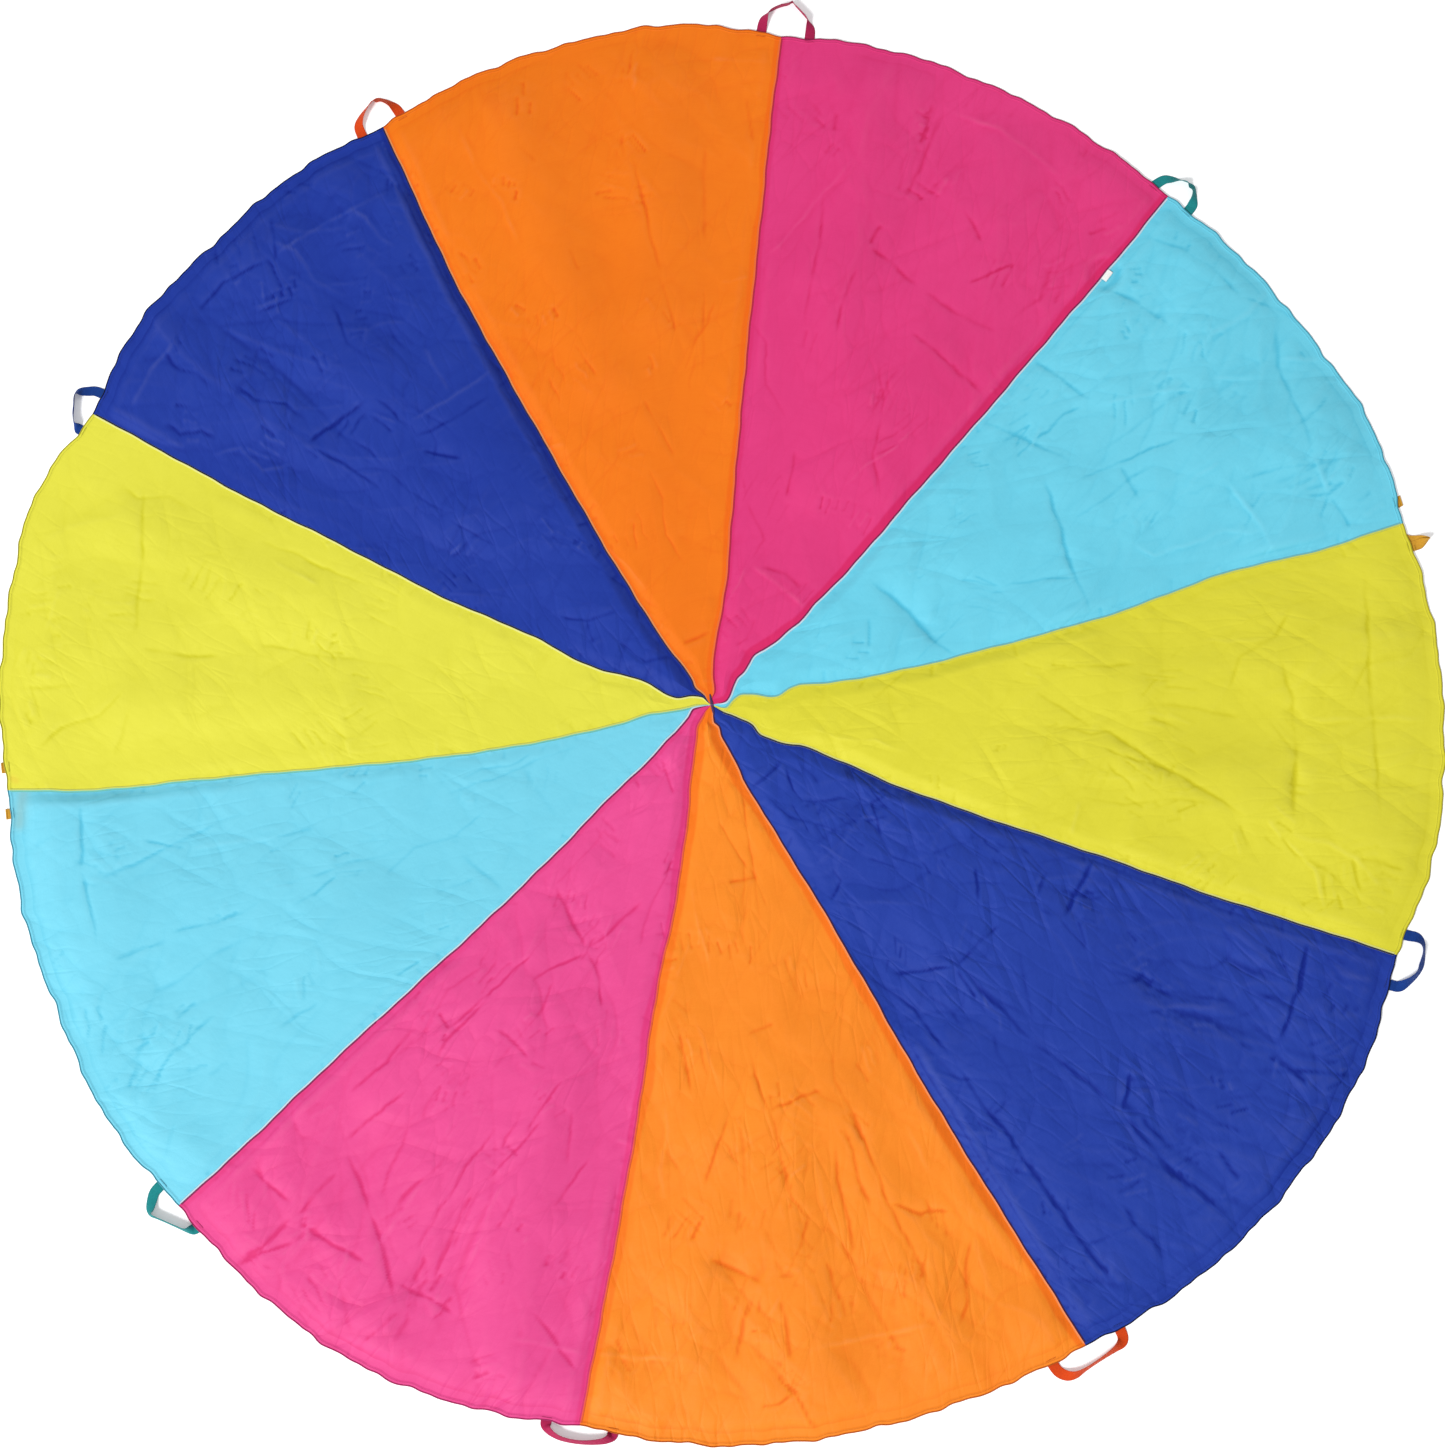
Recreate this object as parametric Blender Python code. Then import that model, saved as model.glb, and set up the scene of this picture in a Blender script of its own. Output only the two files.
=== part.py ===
"""Play parachute lying on the floor: ten cloth gores, ten seams, a hemmed rim and ten webbing handles.

Metres, +Z up, origin on the floor under the centre of the canopy. Seams, gores and handles are
numbered clockwise from the top of the plan, +Y. The canopy folds in half over the line y = 0, which
runs down the middle of the two yellow gores, so each of these has a far and a near half.
"""

import math

import bmesh
import bpy
from mathutils import Matrix, Vector

# Driving dimensions
canopy_radius = 1.500
touch_gap = 0.0003
cloth_thickness = 0.0010
fold_height = 0.012
fold_width = 0.085
fold_clear_of_seam = 0.060

seam_strip_width = 0.010
seam_strip_thickness = 0.0008
seam_flange_width = 0.007
centre_radius = 0.006
centre_stitch_height = 0.0022

hem_width = 0.006
hem_thickness = 0.0020
hem_slope = 0.002
binding_width = 0.0015
binding_thickness = 0.0018
binding_lift = 0.0002

webbing_width = 0.022
webbing_thickness = 0.0012
knuckle_radius = 1.5 * webbing_thickness + touch_gap
hinge_reach = 0.008
foot_offset = 0.050
loop_reach = 0.050
root_straight = 0.005
sewn_end_length = 0.022
foot_zone_half_width = 0.125
foot_zone_depth = 0.095
foot_zone_fade = 0.080
sag_length = 0.020

label_length = 0.026
label_reach = 0.013
label_thickness = 0.0005
label_radius_share = 0.85

fold_axis_height = 0.030
under_turn = math.radians(130)

# Places along a seam, as shares of the radius, and each seam's direction there in degrees.
station_shares = (0.03, 0.08, 0.165, 0.30, 0.50, 0.75, 1.0)
seam_directions = {
    1: (93.0, 89.5, 83.8, 84.3, 84.5, 84.4, 84.2),
    2: (38.0, 45.8, 44.4, 45.0, 46.8, 47.7, 48.4),
    3: (20.0, 13.0, 10.2, 10.4, 12.0, 14.2, 14.6),
    4: (-30.0, -30.0, -24.6, -24.0, -22.4, -21.5, -20.7),
    5: (-72.0, -68.7, -65.1, -62.5, -61.5, -60.9, -60.2),
    6: (-118.0, -107.9, -102.1, -100.5, -100.4, -100.0, -100.2),
    7: (-150.0, -143.6, -138.0, -136.4, -136.1, -136.5, -136.5),
    8: (-167.0, -170.0, -168.0, -168.4, -170.3, -171.9, -173.3),
    9: (-201.0, -196.3, -197.7, -201.5, -203.2, -204.6, -205.8),
    10: (-224.0, -231.9, -234.7, -236.4, -238.2, -239.2, -240.8),
}
# The rim's distance from the centre at each seam, then a quarter, half and three quarters of the
# way to the next one, as shares of the canopy's radius.
rim_shares = {
    1: (0.996, 1.002, 0.997, 0.992),
    2: (0.985, 0.992, 0.997, 1.007),
    3: (0.996, 1.005, 1.007, 1.007),
    4: (0.989, 1.009, 1.013, 1.009),
    5: (0.995, 0.993, 0.994, 0.993),
    6: (0.983, 0.999, 1.008, 1.002),
    7: (0.992, 1.000, 0.993, 0.995),
    8: (0.988, 1.003, 1.009, 1.015),
    9: (0.985, 1.003, 0.996, 0.998),
    10: (0.985, 1.001, 1.009, 1.015),
}
gore_colours = {
    1: "pink", 2: "light_blue", 3: "yellow", 4: "royal_blue", 5: "orange",
    6: "pink", 7: "light_blue", 8: "yellow", 9: "royal_blue", 10: "orange",
}
far_seams = (9, 10, 1, 2, 3)

# Main folds of each gore: across and out shares of one end, the same of the other end, and a size share.
fold_shares = {
    1: ((0.28, 0.93, 0.36, 0.58, 0.9), (0.62, 0.88, 0.55, 0.50, 1.0), (0.72, 0.60, 0.50, 0.34, 0.6)),
    2: ((0.30, 0.88, 0.45, 0.60, 1.0), (0.68, 0.93, 0.60, 0.70, 0.8), (0.52, 0.52, 0.42, 0.34, 0.6)),
    3: ((0.28, 0.92, 0.34, 0.60, 0.7), (0.72, 0.90, 0.62, 0.60, 0.8)),
    4: ((0.24, 0.48, 0.52, 0.76, 1.0), (0.45, 0.42, 0.72, 0.85, 0.9), (0.82, 0.90, 0.75, 0.50, 0.8)),
    5: ((0.26, 0.92, 0.32, 0.50, 0.8), (0.56, 0.90, 0.50, 0.55, 1.0), (0.80, 0.92, 0.74, 0.60, 0.7)),
    6: ((0.26, 0.90, 0.40, 0.50, 0.9), (0.62, 0.85, 0.50, 0.50, 1.0), (0.80, 0.70, 0.68, 0.42, 0.7)),
    7: ((0.32, 0.85, 0.40, 0.55, 0.8), (0.66, 0.90, 0.58, 0.60, 0.9)),
    8: ((0.24, 0.82, 0.32, 0.52, 0.7), (0.76, 0.86, 0.68, 0.55, 0.8)),
    9: ((0.30, 0.76, 0.40, 0.45, 0.8), (0.60, 0.92, 0.55, 0.62, 0.9), (0.78, 0.62, 0.68, 0.40, 0.7)),
    10: ((0.30, 0.92, 0.36, 0.50, 0.8), (0.70, 0.90, 0.62, 0.58, 1.0)),
}

# Each handle's two feet along the rim from their seam, as shares of the foot offset, and how far the
# loop stands out from its hinge, as a share of the loop's reach.
handle_foot_shares = {
    1: (-0.90, 1.24), 2: (-0.76, 1.08), 3: (-0.96, 1.04), 4: (-0.92, 1.24), 5: (-1.50, 1.50),
    6: (-1.36, 1.36), 7: (-1.16, 1.12), 8: (-1.00, 1.00), 9: (-0.86, 0.98), 10: (-1.00, 0.94),
}
handle_reach_shares = {1: 1.40, 2: 0.82, 3: 0.60, 4: 0.90, 5: 0.92, 6: 0.56, 7: 1.00, 8: 1.20, 9: 0.92, 10: 1.04}
# The loop's route from its first foot to its second, both left out: the share of half the distance
# between the feet, the share of the reach, and how far the webbing is turned up on its edge, in degrees,
# where 180 is face down.
loop_route_shares = {
    1: ((-0.94, 0.34, 15), (-0.68, 0.62, 62), (-0.32, 0.76, 84), (0.12, 0.98, 90), (0.42, 0.74, 84),
        (0.74, 0.52, 66), (0.96, 0.28, 20)),
    2: ((-0.86, 0.45, 15), (-0.58, 0.80, 45), (-0.25, 0.95, 74), (0.15, 1.0, 45), (0.50, 0.90, 28),
        (0.84, 0.62, 30), (0.96, 0.30, 10)),
    3: ((-0.82, -0.75, 180), (-0.35, -0.95, 180), (0.20, -0.70, 180), (0.58, 0.30, 155), (0.88, 0.90, 60)),
    4: ((-1.06, 0.40, 10), (-0.92, 0.78, 60), (-0.55, 1.0, 72), (-0.05, 1.0, 30), (0.40, 0.97, 60),
        (0.78, 0.66, 45), (0.97, 0.30, 8)),
    5: ((-0.90, 0.42, 8), (-0.68, 0.68, 40), (-0.30, 0.84, 60), (0.10, 0.98, 48), (0.46, 1.0, 35),
        (0.76, 0.70, 20), (0.95, 0.34, 5)),
    6: ((-0.90, 0.40, 5), (-0.66, 0.72, 5), (-0.28, 0.94, 3), (0.12, 1.0, 3), (0.52, 0.88, 5),
        (0.80, 0.64, 8), (0.93, 0.36, 5)),
    7: ((-0.88, 0.40, 15), (-0.55, 0.62, 35), (-0.12, 0.82, 60), (0.32, 0.98, 86), (0.62, 0.88, 84),
        (0.84, 0.58, 45), (0.97, 0.28, 10)),
    8: ((-0.92, -0.50, 180), (-0.62, -0.88, 180), (-0.20, -1.0, 180), (0.20, -1.0, 180),
        (0.62, -0.88, 180), (0.92, -0.50, 180)),
    9: ((-0.92, 0.35, 40), (-0.62, 0.66, 78), (-0.18, 0.90, 88), (0.28, 1.0, 84), (0.62, 0.90, 60),
        (0.88, 0.62, 35), (0.97, 0.30, 8)),
    10: ((-0.95, 0.36, 8), (-0.66, 0.70, 35), (-0.28, 0.92, 60), (0.12, 1.0, 66), (0.50, 0.88, 60),
         (0.84, 0.60, 50), (0.96, 0.28, 15)),
}
# Handles whose first and second root turn down under the canopy at rest.
roots_under = {3: (True, False), 8: (True, True)}

material_looks = {
    "pink": ((0.72, 0.035, 0.19), 0.55),
    "light_blue": ((0.12, 0.53, 0.78), 0.55),
    "yellow": ((0.68, 0.64, 0.035), 0.55),
    "royal_blue": ((0.02, 0.055, 0.34), 0.50),
    "orange": ((0.93, 0.19, 0.012), 0.55),
    "teal_webbing": ((0.01, 0.31, 0.33), 0.70),
    "blue_webbing": ((0.015, 0.07, 0.28), 0.70),
    "orange_webbing": ((0.78, 0.07, 0.01), 0.70),
    "magenta_webbing": ((0.55, 0.02, 0.10), 0.70),
    "amber_webbing": ((0.70, 0.36, 0.03), 0.70),
    "pink_thread": ((0.80, 0.20, 0.16), 0.75),
    "dark_thread": ((0.05, 0.015, 0.06), 0.75),
    "label": ((0.86, 0.86, 0.84), 0.80),
}
webbing_colours = {
    1: "magenta_webbing", 2: "teal_webbing", 3: "amber_webbing", 4: "blue_webbing", 5: "orange_webbing",
    6: "magenta_webbing", 7: "teal_webbing", 8: "amber_webbing", 9: "blue_webbing", 10: "orange_webbing",
}

# Grid of a gore: rows out from the centre, and columns across, as shares
row_shares = (0.03, 0.08, 0.165, 0.27, 0.40, 0.54, 0.68, 0.80, 0.885, 0.95)
column_shares = (0.11, 0.20, 0.35, 0.50, 0.65, 0.80, 0.89)
narrow_flange_share = 0.3
first_column_share = 0.3
centre_top_share = 0.8
loop_steps = 18
centre_sides = 20

seam_count = len(seam_directions)
gore_edge_inset = binding_width + touch_gap
sewn_end_top = knuckle_radius + webbing_thickness / 2
foot_lift = sewn_end_top + touch_gap


def smooth_step(value):
    value = min(max(value, 0.0), 1.0)
    return value * value * (3 - 2 * value)


def smooth_read(stations, values, at):
    """Reads a smooth curve through the values at their stations."""
    if at <= stations[0]:
        return values[0]
    if at >= stations[-1]:
        return values[-1]
    i = max(n for n in range(len(stations) - 1) if stations[n] <= at)

    def slope(n):
        low, high = max(n - 1, 0), min(n + 1, len(stations) - 1)
        return (values[high] - values[low]) / (stations[high] - stations[low])

    step = stations[i + 1] - stations[i]
    t = (at - stations[i]) / step
    start, end = slope(i) * step, slope(i + 1) * step
    rise = values[i + 1] - values[i]
    return values[i] + t * (start + t * (3 * rise - 2 * start - end + t * (start + end - 2 * rise)))


def seam_direction(seam, share):
    return math.radians(smooth_read(station_shares, seam_directions[seam], share))


def next_seam(seam):
    return seam % seam_count + 1


def rim_radius(gore, across):
    """Distance of the rim from the centre, at a share of the way from a gore's first seam to its second."""
    shares = rim_shares[gore] + (rim_shares[next_seam(gore)][0],)
    return canopy_radius * smooth_read((0.0, 0.25, 0.5, 0.75, 1.0), shares, across)


def directions(gore, share):
    """A gore's first and second seam directions, the second being the smaller angle."""
    first = seam_direction(gore, share)
    second = seam_direction(next_seam(gore), share)
    while second > first:
        second -= 2 * math.pi
    return first, second


def plan_point(gore, across, share, inset=gore_edge_inset):
    first, second = directions(gore, share)
    angle = first + across * (second - first)
    radius = share * (rim_radius(gore, across) - inset)
    return Vector((radius * math.cos(angle), radius * math.sin(angle), 0))


def gore_width(gore, share):
    first, second = directions(gore, share)
    return share * canopy_radius * (first - second)


def middle_across(gore, share):
    """Where the line y = 0 crosses a yellow gore, as a share of the way across."""
    first, second = directions(gore, share)
    turn = round((first + second) / 2 / math.pi) * math.pi
    return (first - turn) / (first - second)


def handle_frame(number):
    """A handle's hinge: its middle, its clockwise direction along the rim and its outward direction."""
    feet = []
    for offset_share in handle_foot_shares[number]:
        offset = offset_share * foot_offset
        gore = number if offset > 0 else (number - 2) % seam_count + 1
        across = offset / gore_width(gore, 1.0) + (0 if offset > 0 else 1)
        feet.append(plan_point(gore, across, 1.0, inset=0))
    along = (feet[1] - feet[0]).normalized()
    outward = Vector((0, 0, 1)).cross(along)
    middle = (feet[0] + feet[1]) / 2 + outward * hinge_reach
    middle.z = knuckle_radius
    return middle, along, outward, (feet[1] - feet[0]).length / 2


def foot_rise(point):
    """How much a handle's sewn ends lift the cloth above them."""
    rise = 0.0
    for middle, along, outward, _ in frames.values():
        away = point - middle
        sideways = max(abs(away.dot(along)) - foot_zone_half_width, 0)
        inwards = max(-away.dot(outward) - foot_zone_depth, 0)
        distance = math.hypot(sideways, inwards)
        rise = max(rise, foot_lift * (1 - smooth_step(distance / foot_zone_fade)))
    return rise


def fold_rise(gore, point, seam_distance):
    """Height of a gore's main folds at a point of the plan."""
    rise = 0.0
    for across_a, out_a, across_b, out_b, size_share in fold_shares[gore]:
        a, b = plan_point(gore, across_a, out_a), plan_point(gore, across_b, out_b)
        run = b - a
        t = min(max((point - a).dot(run) / run.length_squared, 0), 1)
        distance = (point - a - run * t).length
        rise += size_share * fold_height * math.exp(-((distance / (size_share * fold_width)) ** 2))
    return min(rise, fold_height) * smooth_step(seam_distance / fold_clear_of_seam)


def cloth_underside(gore, across, share):
    """Height of the cloth's lower face. Along the seams it follows only the handles."""
    point = plan_point(gore, across, share)
    width = gore_width(gore, share)
    seam_distance = max(min(across, 1 - across) * width - seam_flange_width, 0)
    if seam_distance == 0:
        seam_point = plan_point(gore, 0.0 if across < 0.5 else 1.0, share)
        return foot_rise(seam_point)
    return foot_rise(point) + fold_rise(gore, point, seam_distance)


def thick_sheet(name, columns, rows, place, material, parent):
    """A closed sheet on a grid. place(column, row) gives a point of the lower face and one of the upper."""
    bm = bmesh.new()
    bmesh.ops.create_grid(bm, x_segments=columns, y_segments=rows, size=1)
    bmesh.ops.triangulate(bm, faces=bm.faces[:], quad_method="FIXED")
    spots = {v: (round((v.co.x + 1) / 2 * columns), round((v.co.y + 1) / 2 * rows)) for v in bm.verts}
    for v in bm.verts:
        v.co = (*spots[v], 0)
    made = bmesh.ops.extrude_face_region(bm, geom=bm.faces[:], use_keep_orig=True)
    lower = {v for v in made["geom"] if isinstance(v, bmesh.types.BMVert)}
    for v in bm.verts:
        below, above = place(round(v.co.x), round(v.co.y))
        v.co = below if v in lower else above
    bmesh.ops.recalc_face_normals(bm, faces=bm.faces[:])
    if bm.calc_volume(signed=True) < 0:
        bmesh.ops.reverse_faces(bm, faces=bm.faces[:])
    return finish(name, bm, material, parent)


def finish(name, bm, material, parent):
    mesh = bpy.data.meshes.new(name)
    bm.to_mesh(mesh)
    bm.free()
    mesh.materials.append(materials[material])
    made = bpy.data.objects.new(name, mesh)
    bpy.context.scene.collection.objects.link(made)
    made.parent = parent
    made.matrix_parent_inverse = Matrix()
    return made


def make_material(name):
    colour, roughness = material_looks[name]
    material = bpy.data.materials.new(name)
    material.use_nodes = True
    shader = material.node_tree.nodes["Principled BSDF"]
    shader.inputs["Base Color"].default_value = (*colour, 1)
    shader.inputs["Roughness"].default_value = roughness
    shader.inputs["Metallic"].default_value = 0
    return material


def make_empty(name, location, rotation, parent=None):
    made = bpy.data.objects.new(name, None)
    bpy.context.scene.collection.objects.link(made)
    made.matrix_world = Matrix.Translation(location) @ rotation.to_4x4()
    if parent:
        made.parent = parent
        made.matrix_parent_inverse = parent.matrix_world.inverted()
    return made


def place_in_world(made, parent):
    """The cloth's meshes are written in world coordinates, so their objects undo their parent's place."""
    made.matrix_parent_inverse = parent.matrix_world.inverted()


def gore_rows():
    """Rows of a gore from its tip to its rim: share of the radius and thickness, with the folded hem last."""
    hem_start = 1 - hem_width / canopy_radius
    slope_start = hem_start - hem_slope / canopy_radius
    rows = [(centre_radius / canopy_radius, cloth_thickness)]
    rows += [(share, cloth_thickness) for share in row_shares]
    rows += [(slope_start, cloth_thickness), (hem_start, hem_thickness), (1.0, hem_thickness)]
    return rows


def gore_columns(gore, share, start=0.0, end=1.0):
    """Shares across a row, from one edge to the other, each edge half a gap inside its seam."""
    width = gore_width(gore, share)
    edge = touch_gap / 2 / width
    flange = min(seam_flange_width / width, narrow_flange_share)
    inner = tuple(flange + (1 - 2 * flange) * c for c in column_shares)
    across = (edge, flange) + inner + (1 - flange, 1 - edge)
    return across


def half_columns(gore, share, far):
    """The same for one half of a yellow gore, which ends half a gap short of the line y = 0."""
    across = gore_columns(gore, share)
    middle = middle_across(gore, share)
    gap = touch_gap / 2 / gore_width(gore, share)
    from_first_seam = far == (gore == 3)
    seam_edge = across[:2] if from_first_seam else across[:-3:-1]
    fold_edge = middle - gap if from_first_seam else middle + gap
    rim_middle = middle_across(gore, 1.0)
    rim_width = gore_width(gore, 1.0) * (rim_middle if from_first_seam else 1 - rim_middle)
    lifted = min(foot_zone_half_width / rim_width, first_column_share)
    steps = len(column_shares) // 2
    spread = [lifted + (1 - lifted) * n / steps for n in range(steps + 1)]
    half = seam_edge + tuple(seam_edge[1] + (fold_edge - seam_edge[1]) * s for s in spread)
    return half if from_first_seam else half[::-1]


def panel_columns(gore, share, side):
    return gore_columns(gore, share) if side is None else half_columns(gore, share, side == "far")


def make_gore(gore, side, parent):
    """A gore, or one half of a yellow one, with the hem folded along its rim."""
    rows = gore_rows()

    def place(column, row):
        share, thickness = rows[row]
        across = panel_columns(gore, share, side)[column]
        below = plan_point(gore, across, share)
        below.z = cloth_underside(gore, across, share)
        return below, below + Vector((0, 0, thickness))

    name = f"gore_{gore:02d}_{gore_colours[gore]}" + (f"_{side}" if side else "")
    columns = len(panel_columns(gore, 1.0, side)) - 1
    cloth = thick_sheet(name, columns, len(rows) - 1, place, gore_colours[gore], parent)
    place_in_world(cloth, parent)


def make_binding(side, gores, parent):
    """The overlock thread round the rim of one half of the canopy, from one end of the fold line to the other."""
    stops = []
    for gore in gores:
        split = gore_colours[gore] == "yellow"
        across = panel_columns(gore, 1.0, side if split else None)
        if across[0] < column_shares[0] / 2:
            across = (0.0,) + across[1:]
        if across[-1] > 1 - column_shares[0] / 2:
            across = across[:-1]
        stops += [(gore, share) for share in across]

    def place(column, row):
        gore, across = stops[column]
        below = plan_point(gore, across, 1.0, inset=binding_width * (1 - row))
        below.z = cloth_underside(gore, across, 1.0) + binding_lift
        return below, below + Vector((0, 0, binding_thickness))

    binding = thick_sheet(f"rim_binding_{side}", len(stops) - 1, 1, place, "dark_thread", parent)
    place_in_world(binding, parent)


def make_seam(seam, parent):
    """The felled strip of a seam, lying on the edges of its two gores and ending at the hem."""
    last = 1 - (hem_width + hem_slope + touch_gap) / canopy_radius
    shares = row_shares + (last,)

    def place(column, row):
        share = shares[row]
        point = plan_point(seam, 0.0, share)
        nearer = plan_point(seam, 0.0, share - touch_gap / canopy_radius)
        sideways = (point - nearer).normalized().cross(Vector((0, 0, 1)))
        point = point + sideways * seam_strip_width * (column - 0.5)
        point.z = cloth_underside(seam, 0.0, share) + cloth_thickness + touch_gap
        return point, point + Vector((0, 0, seam_strip_thickness))

    strip = thick_sheet(f"seam_{seam:02d}", 1, len(shares) - 1, place, gore_colours[seam], parent)
    place_in_world(strip, parent)


def knuckle_stations():
    """Distances along the webbing and half thicknesses that turn its end into an eight-sided knuckle."""
    near = knuckle_radius * math.sin(math.radians(22.5))
    far = knuckle_radius * math.cos(math.radians(22.5))
    return ((-far, near), (-near, far), (near, far), (far, near))


def root_stations(foot, under):
    """Stations of one root, from its knuckle outwards, in the hinge's frame: centre, direction, half thickness."""
    drop = -under_turn if under else 0.0
    direction = Vector((0, math.cos(drop), math.sin(drop)))
    start = Vector((foot, 0, 0))
    return [(start + direction * along, direction, half) for along, half in knuckle_stations()]


def route_points(number, half_span):
    """The loop's route in the hinge's frame, with a short straight run at each root."""
    reach = handle_reach_shares[number] * loop_reach
    under = roots_under.get(number, (False, False))
    runs = [-root_straight if u else root_straight for u in under]
    turns = [180.0 if u else 0.0 for u in under]
    points = [(-half_span, runs[0], turns[0])]
    points += [(x * half_span, y * reach, turn) for x, y, turn in loop_route_shares[number]]
    points += [(half_span, runs[1], turns[1])]
    return points


def strap_stations(number, half_span):
    """Stations of the free loop: centre, direction, upward turn and half thickness."""
    points = route_points(number, half_span)
    plan = [Vector((x, y, 0)) for x, y, _ in points]
    lengths = [0.0]
    for a, b in zip(plan, plan[1:]):
        lengths.append(lengths[-1] + (b - a).length)
    xs, ys, turns = zip(*points)
    total = lengths[-1]
    stations = []
    for n in range(loop_steps + 1):
        at = total * n / loop_steps
        turn = math.radians(min(max(smooth_read(lengths, turns, at), 0), 180))
        spot = Vector((smooth_read(lengths, xs, at), smooth_read(lengths, ys, at), 0))
        lying = webbing_width / 2 * math.sin(turn) + webbing_thickness / 2 * abs(math.cos(turn))
        under = roots_under.get(number, (False, False))
        from_root = at if n <= loop_steps / 2 else total - at
        root_under = under[0] if n <= loop_steps / 2 else under[1]
        root_height = webbing_thickness / 2 if root_under else knuckle_radius
        sag = smooth_step(from_root / sag_length)
        height = max(lying, root_height + (webbing_thickness / 2 - root_height) * sag)
        spot.z = height - knuckle_radius
        stations.append((spot, turn))
    return stations


def make_handle(number, parent):
    """The free loop on its hinge, and the two ends sewn under the hem."""
    middle, along, outward, half_span = frames[number]
    up = Vector((0, 0, 1))
    rotation = Matrix((along, outward, up)).transposed()
    hinge = make_empty(f"handle_{number:02d}_hinge", middle, rotation, parent)
    under = roots_under.get(number, (False, False))
    strap = strap_stations(number, half_span)
    half_width = webbing_width / 2

    rings = []
    for centre, direction, half in root_stations(-half_span, under[0]):
        rings.append((centre, direction, Vector((1, 0, 0)), half))
    for n, (centre, turn) in enumerate(strap):
        before, after = strap[max(n - 1, 0)][0], strap[min(n + 1, len(strap) - 1)][0]
        direction = (after - before).normalized()
        if n == 0:
            direction = Vector((0, -1 if under[0] else 1, 0))
        if n == len(strap) - 1:
            direction = Vector((0, 1 if under[1] else -1, 0))
        level = Vector((direction.x, direction.y, 0)).normalized()
        across = level.cross(up) * math.cos(turn) + up * math.sin(turn)
        thick = across.cross(direction).normalized()
        lowest = centre.z - abs(across.z) * half_width - abs(thick.z) * webbing_thickness / 2
        centre = centre - up * min(lowest + knuckle_radius, 0)
        rings.append((centre, direction, across, webbing_thickness / 2))
    for centre, direction, half in reversed(root_stations(half_span, under[1])):
        rings.append((centre, -direction, Vector((-1, 0, 0)), half))

    def place(column, row):
        centre, direction, across, half = rings[row]
        side = across * half_width * (1 - 2 * column)
        thick = across.cross(direction).normalized() * half
        return centre + side - thick, centre + side + thick

    colour = webbing_colours[number]
    thick_sheet(f"handle_{number:02d}_loop", 1, len(rings) - 1, place, colour, hinge)

    end_face = -(knuckle_radius + touch_gap)
    length = hinge_reach + sewn_end_length + end_face
    bpy.context.view_layer.update()
    for side, foot in (("left", -half_span), ("right", half_span)):
        bm = bmesh.new()
        box = bmesh.ops.create_cube(bm, size=1)
        bmesh.ops.scale(bm, verts=box["verts"], vec=(webbing_width, length, webbing_thickness))
        bmesh.ops.translate(bm, verts=box["verts"], vec=(foot, end_face - length / 2, 0))
        bmesh.ops.transform(bm, matrix=hinge.matrix_world, verts=bm.verts[:])
        place_in_world(finish(f"handle_{number:02d}_{side}_end", bm, colour, parent), parent)


def make_label(parent):
    """The blank woven label, caught in a seam and lying to its clockwise side."""
    seam = 2
    spot = plan_point(seam, 0.0, label_radius_share)
    outward = (spot - plan_point(seam, 0.0, label_radius_share - touch_gap / canopy_radius)).normalized()
    up = Vector((0, 0, 1))
    sideways = outward.cross(up)
    half_share = label_length / 2 / canopy_radius
    ends = (label_radius_share - half_share, label_radius_share, label_radius_share + half_share)
    highest = max(cloth_underside(seam, 0.0, share) for share in ends)
    strip_top = highest + cloth_thickness + touch_gap + seam_strip_thickness
    spot.z = strip_top + touch_gap + label_thickness / 2
    rotation = Matrix((sideways, up.cross(sideways), up)).transposed()
    hinge = make_empty("care_label_hinge", spot, rotation, parent)
    bm = bmesh.new()
    box = bmesh.ops.create_cube(bm, size=1)
    bmesh.ops.scale(bm, verts=box["verts"], vec=(label_reach, label_length, label_thickness))
    bmesh.ops.translate(bm, verts=box["verts"], vec=(touch_gap + label_reach / 2, 0, 0))
    finish("care_label", bm, "label", hinge)


def make_centre(parent):
    """The stitched gather where the ten points meet."""
    bm = bmesh.new()
    bmesh.ops.create_cone(
        bm,
        cap_ends=True,
        segments=centre_sides,
        radius1=centre_radius - touch_gap,
        radius2=(centre_radius - touch_gap) * centre_top_share,
        depth=centre_stitch_height,
        matrix=Matrix.Translation((0, 0, centre_stitch_height / 2)),
    )
    place_in_world(finish("centre_stitch", bm, "pink_thread", parent), parent)


def build():
    near = make_empty("near_half", Vector((0, 0, 0)), Matrix.Identity(3))
    far = make_empty("far_half", Vector((0, 0, fold_axis_height)), Matrix.Identity(3))
    bpy.context.view_layer.update()
    for gore, colour in gore_colours.items():
        if colour == "yellow":
            make_gore(gore, "far", far)
            make_gore(gore, "near", near)
        else:
            make_gore(gore, None, far if gore in far_seams else near)
    for seam in seam_directions:
        parent = far if seam in far_seams else near
        make_seam(seam, parent)
        make_handle(seam, parent)
    make_binding("far", (8, 9, 10, 1, 2, 3), far)
    make_binding("near", (3, 4, 5, 6, 7, 8), near)
    make_label(far)
    make_centre(near)


for leftover in list(bpy.data.objects):
    bpy.data.objects.remove(leftover)
materials = {name: make_material(name) for name in material_looks}
frames = {number: handle_frame(number) for number in handle_foot_shares}
build()
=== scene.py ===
import math

import bmesh
import bpy
import numpy as np
from mathutils import Matrix, Vector


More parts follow.
